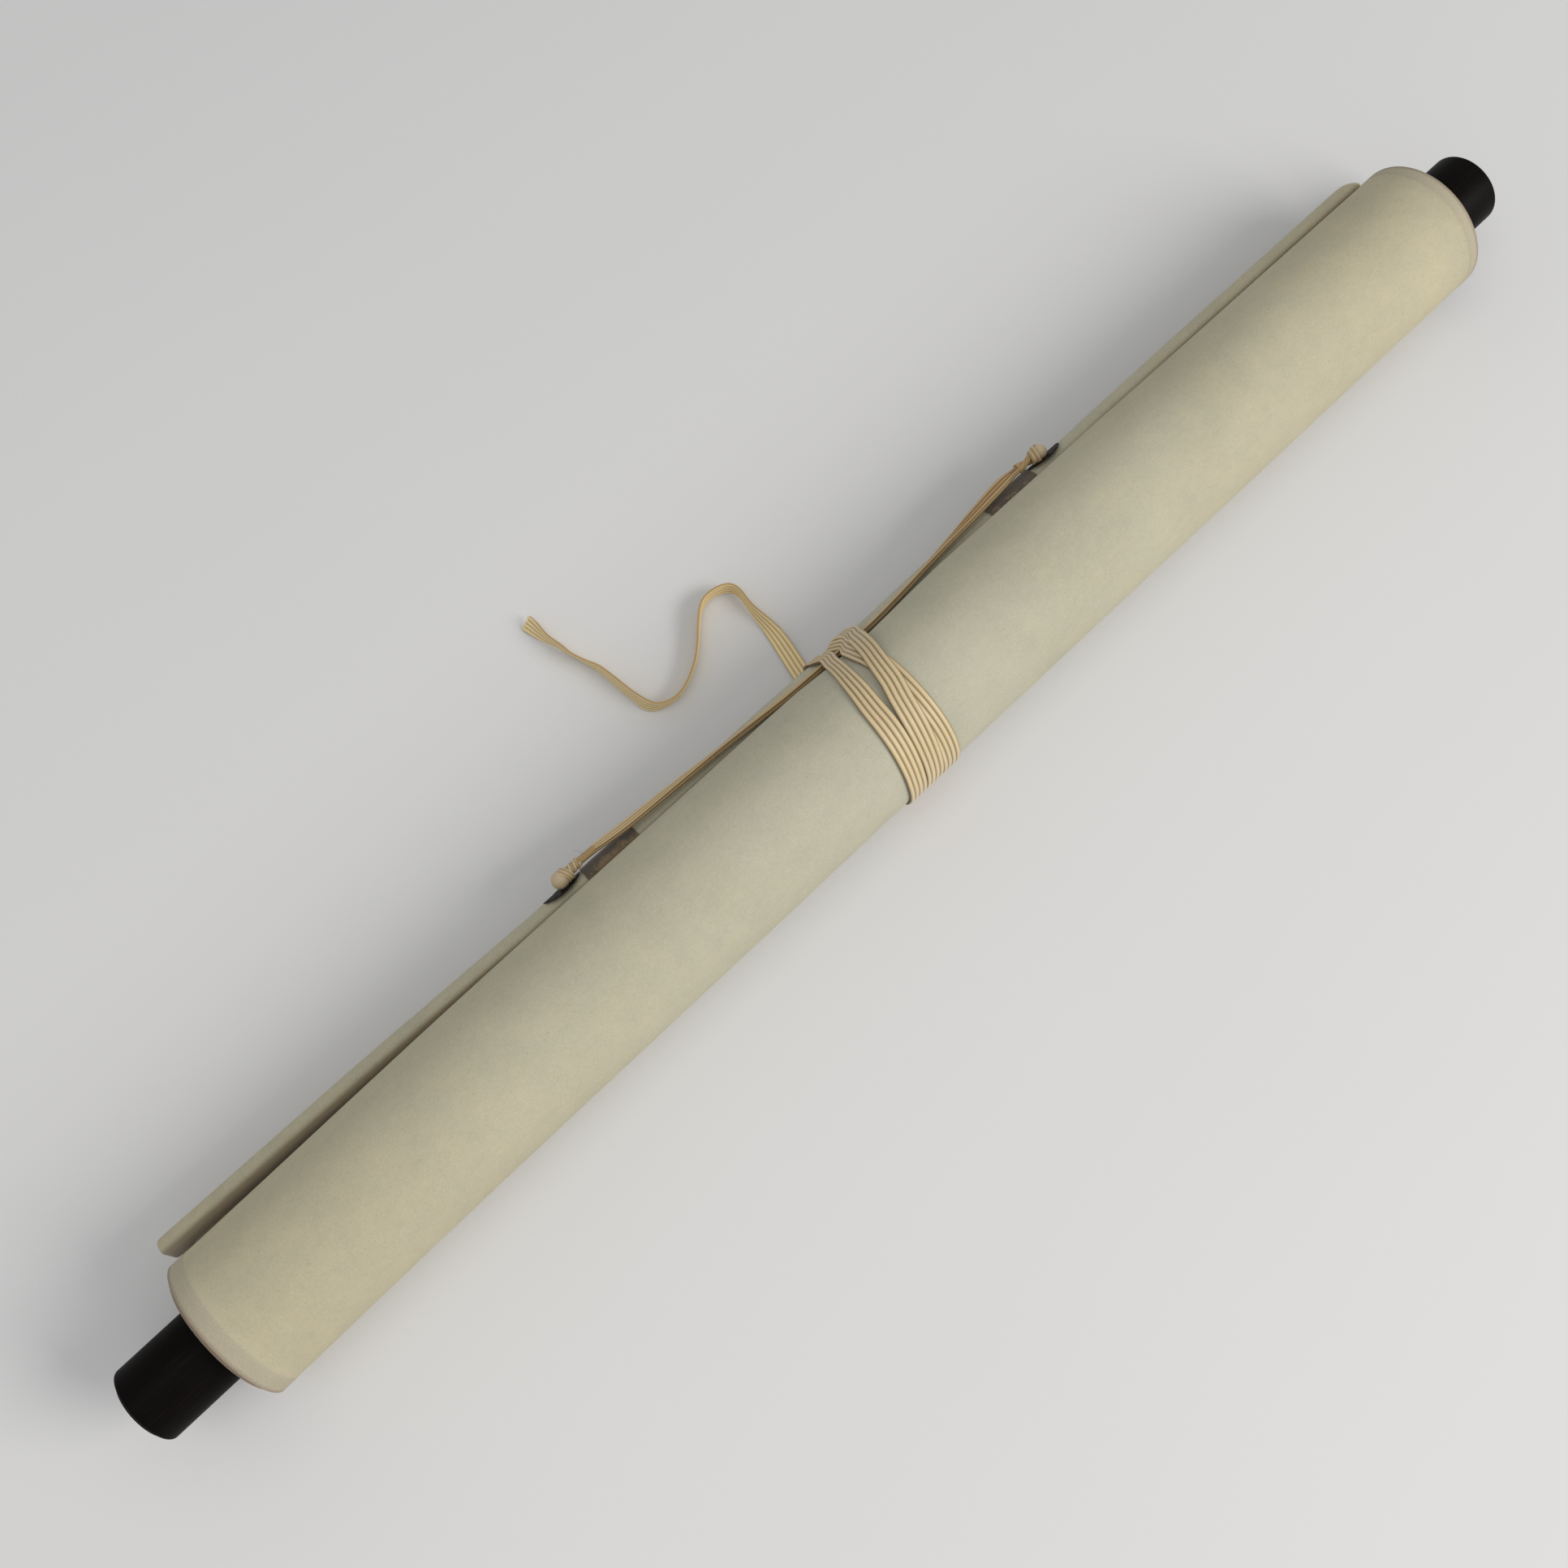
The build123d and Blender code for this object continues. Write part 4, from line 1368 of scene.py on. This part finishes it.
paper, silk, edge = backing_paper(), face_silk(), sheet_edge()
ribbon_silk = ribbed_silk(
    "ribbon_silk", RIBBON_RIBS, RIBBON_WIDTH, THREAD_PITCH,
    (0.60, 0.465, 0.255), (0.15, 0.090, 0.036),
)
# Painted light: the free end is the same ribbon as the wound turns, painted in lighter colours to
# stand for the light it catches lying on the table.
lit_tail_silk = ribbed_silk(
    "lit_tail_silk", RIBBON_RIBS, TAIL_WIDTH, THREAD_PITCH,
    (0.85, 0.640, 0.330), (0.42, 0.265, 0.098),
)
braid_silk = ribbed_silk(
    "braid_silk", BRAID_RIBS, BRAID_WIDTH, THREAD_PITCH,
    (0.60, 0.440, 0.215), (0.22, 0.133, 0.045), (62.0, (0.62, 0.46, 0.29)),
)
knot_silk = ribbed_silk(
    "knot_silk", BRAID_RIBS, KNOT_STRAND, THREAD_PITCH,
    (0.56, 0.425, 0.235), (0.29, 0.195, 0.095),
)
cap_silk = ribbed_silk(
    "cap_silk", BRAID_RIBS, KNOT_STRAND, 0.70, (0.55, 0.43, 0.265), (0.46, 0.35, 0.205),
    depth=0.06,
)
whipping = ribbed_silk(
    "whipping", 1, WHIP_STRAND, 0.5, (0.42, 0.27, 0.105), (0.33, 0.205, 0.075)
)
dark_whipping = ribbed_silk(
    "dark_whipping", 1, WHIP_STRAND, 0.5, (0.26, 0.15, 0.06), (0.13, 0.070, 0.028)
)
dark_wood, pale_wood, metal, brass = turned_wood(), soft_wood(), black_metal(), aged_brass()

free_tail("ribbon_tail", lit_tail_silk)
hanging_braid("hanging_braid", braid_silk)
wound_turns("ribbon_turns", ribbon_silk)
roll, sheet_length = scroll_roll(paper, silk, edge)
pocket = flap_pocket(paper, silk)
inner_batten(pale_wood)
turned_knob("knob_left", -1, dark_wood)
turned_knob("knob_right", 1, dark_wood)
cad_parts["roller_rod"].data.materials.clear()
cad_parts["roller_rod"].data.materials.append(pale_wood)
for side, place in zip(("left", "right"), EYELETS):
    petal_washer("washer_" + side, place, metal)
    eyelet_ring(side, place, brass)
wind_band(
    "left", BAND_MIDDLES[0],
    brocade("brocade_left", -0.02, (0.150, 0.118, 0.092), (0.30, 0.195, 0.085)), 2.5,
)
wind_band(
    "right", BAND_MIDDLES[1],
    brocade("brocade_right", -0.10, (0.165, 0.135, 0.100), (0.33, 0.22, 0.13)), -2.5,
)
tied_knot("left", (cap_silk, knot_silk, knot_silk, whipping, thread_silk()), LOOSE_THREADS)
tied_knot("right", (cap_silk, knot_silk, whipping, dark_whipping))

# Camera, light and floor.

# The photograph's camera in metres: its place and its own directions, found by fitting it to
# both knobs and the roll's edges.
CAMERA_PLACE = (-0.11968, -0.08558, 0.5395)
CAMERA_RIGHT = (0.72622, -0.68746, -0.00045)
CAMERA_UP = (0.66708, 0.70453, 0.24216)
CAMERA_BACK = (-0.16616, -0.17616, 0.97024)
SENSOR_WIDTH, LENS = 36.0, 36.861
# Lamps as (name, place, size, power, colour); both look at the middle of the table.
LAMPS = (
    ("window", (1.15, -1.65, 1.4), 1.45, 37.0, (1.0, 0.985, 0.965)),
    ("ceiling", (-0.5, 0.1, 2.4), 1.6, 7.0, (1.0, 1.0, 1.0)),
)
ROOM_COLOUR, ROOM_LIGHT = (0.97, 0.985, 1.0, 1), 0.48
TABLE_HALF = 6.0


def photograph_camera():
    """The camera as it stood for the photograph."""
    data = bpy.data.cameras.new("camera")
    data.sensor_width, data.lens = SENSOR_WIDTH, LENS
    camera = bpy.data.objects.new("camera", data)
    camera.matrix_world = Matrix((CAMERA_RIGHT, CAMERA_UP, CAMERA_BACK)).transposed().to_4x4()
    camera.location = CAMERA_PLACE
    bpy.context.scene.collection.objects.link(camera)
    bpy.context.scene.camera = camera


def soft_lamp(name, place, size, power, colour):
    """A round area lamp that looks at the middle of the table."""
    data = bpy.data.lights.new(name, "AREA")
    data.shape, data.size, data.energy, data.color = "DISK", size, power, colour
    lamp = bpy.data.objects.new(name, data)
    lamp.location = place
    lamp.rotation_euler = (-Vector(place)).to_track_quat("-Z", "Y").to_euler()
    bpy.context.scene.collection.objects.link(lamp)


def studio():
    """The table, the room's even light and the lamps."""
    bm = bmesh.new()
    bmesh.ops.create_grid(bm, x_segments=1, y_segments=1, size=TABLE_HALF)
    mesh = bpy.data.meshes.new("table_top")
    bm.to_mesh(mesh)
    bm.free()
    mesh.materials.append(table_top())
    floor = bpy.data.objects.new("table_top", mesh)
    bpy.context.scene.collection.objects.link(floor)
    world = bpy.data.worlds.new("soft_room")
    bpy.context.scene.world = world
    world.use_nodes = True
    background = world.node_tree.nodes["Background"]
    background.inputs["Color"].default_value = ROOM_COLOUR
    background.inputs["Strength"].default_value = ROOM_LIGHT
    for lamp in LAMPS:
        soft_lamp(*lamp)


photograph_camera()
studio()
bpy.context.scene.view_settings.view_transform = "Standard"
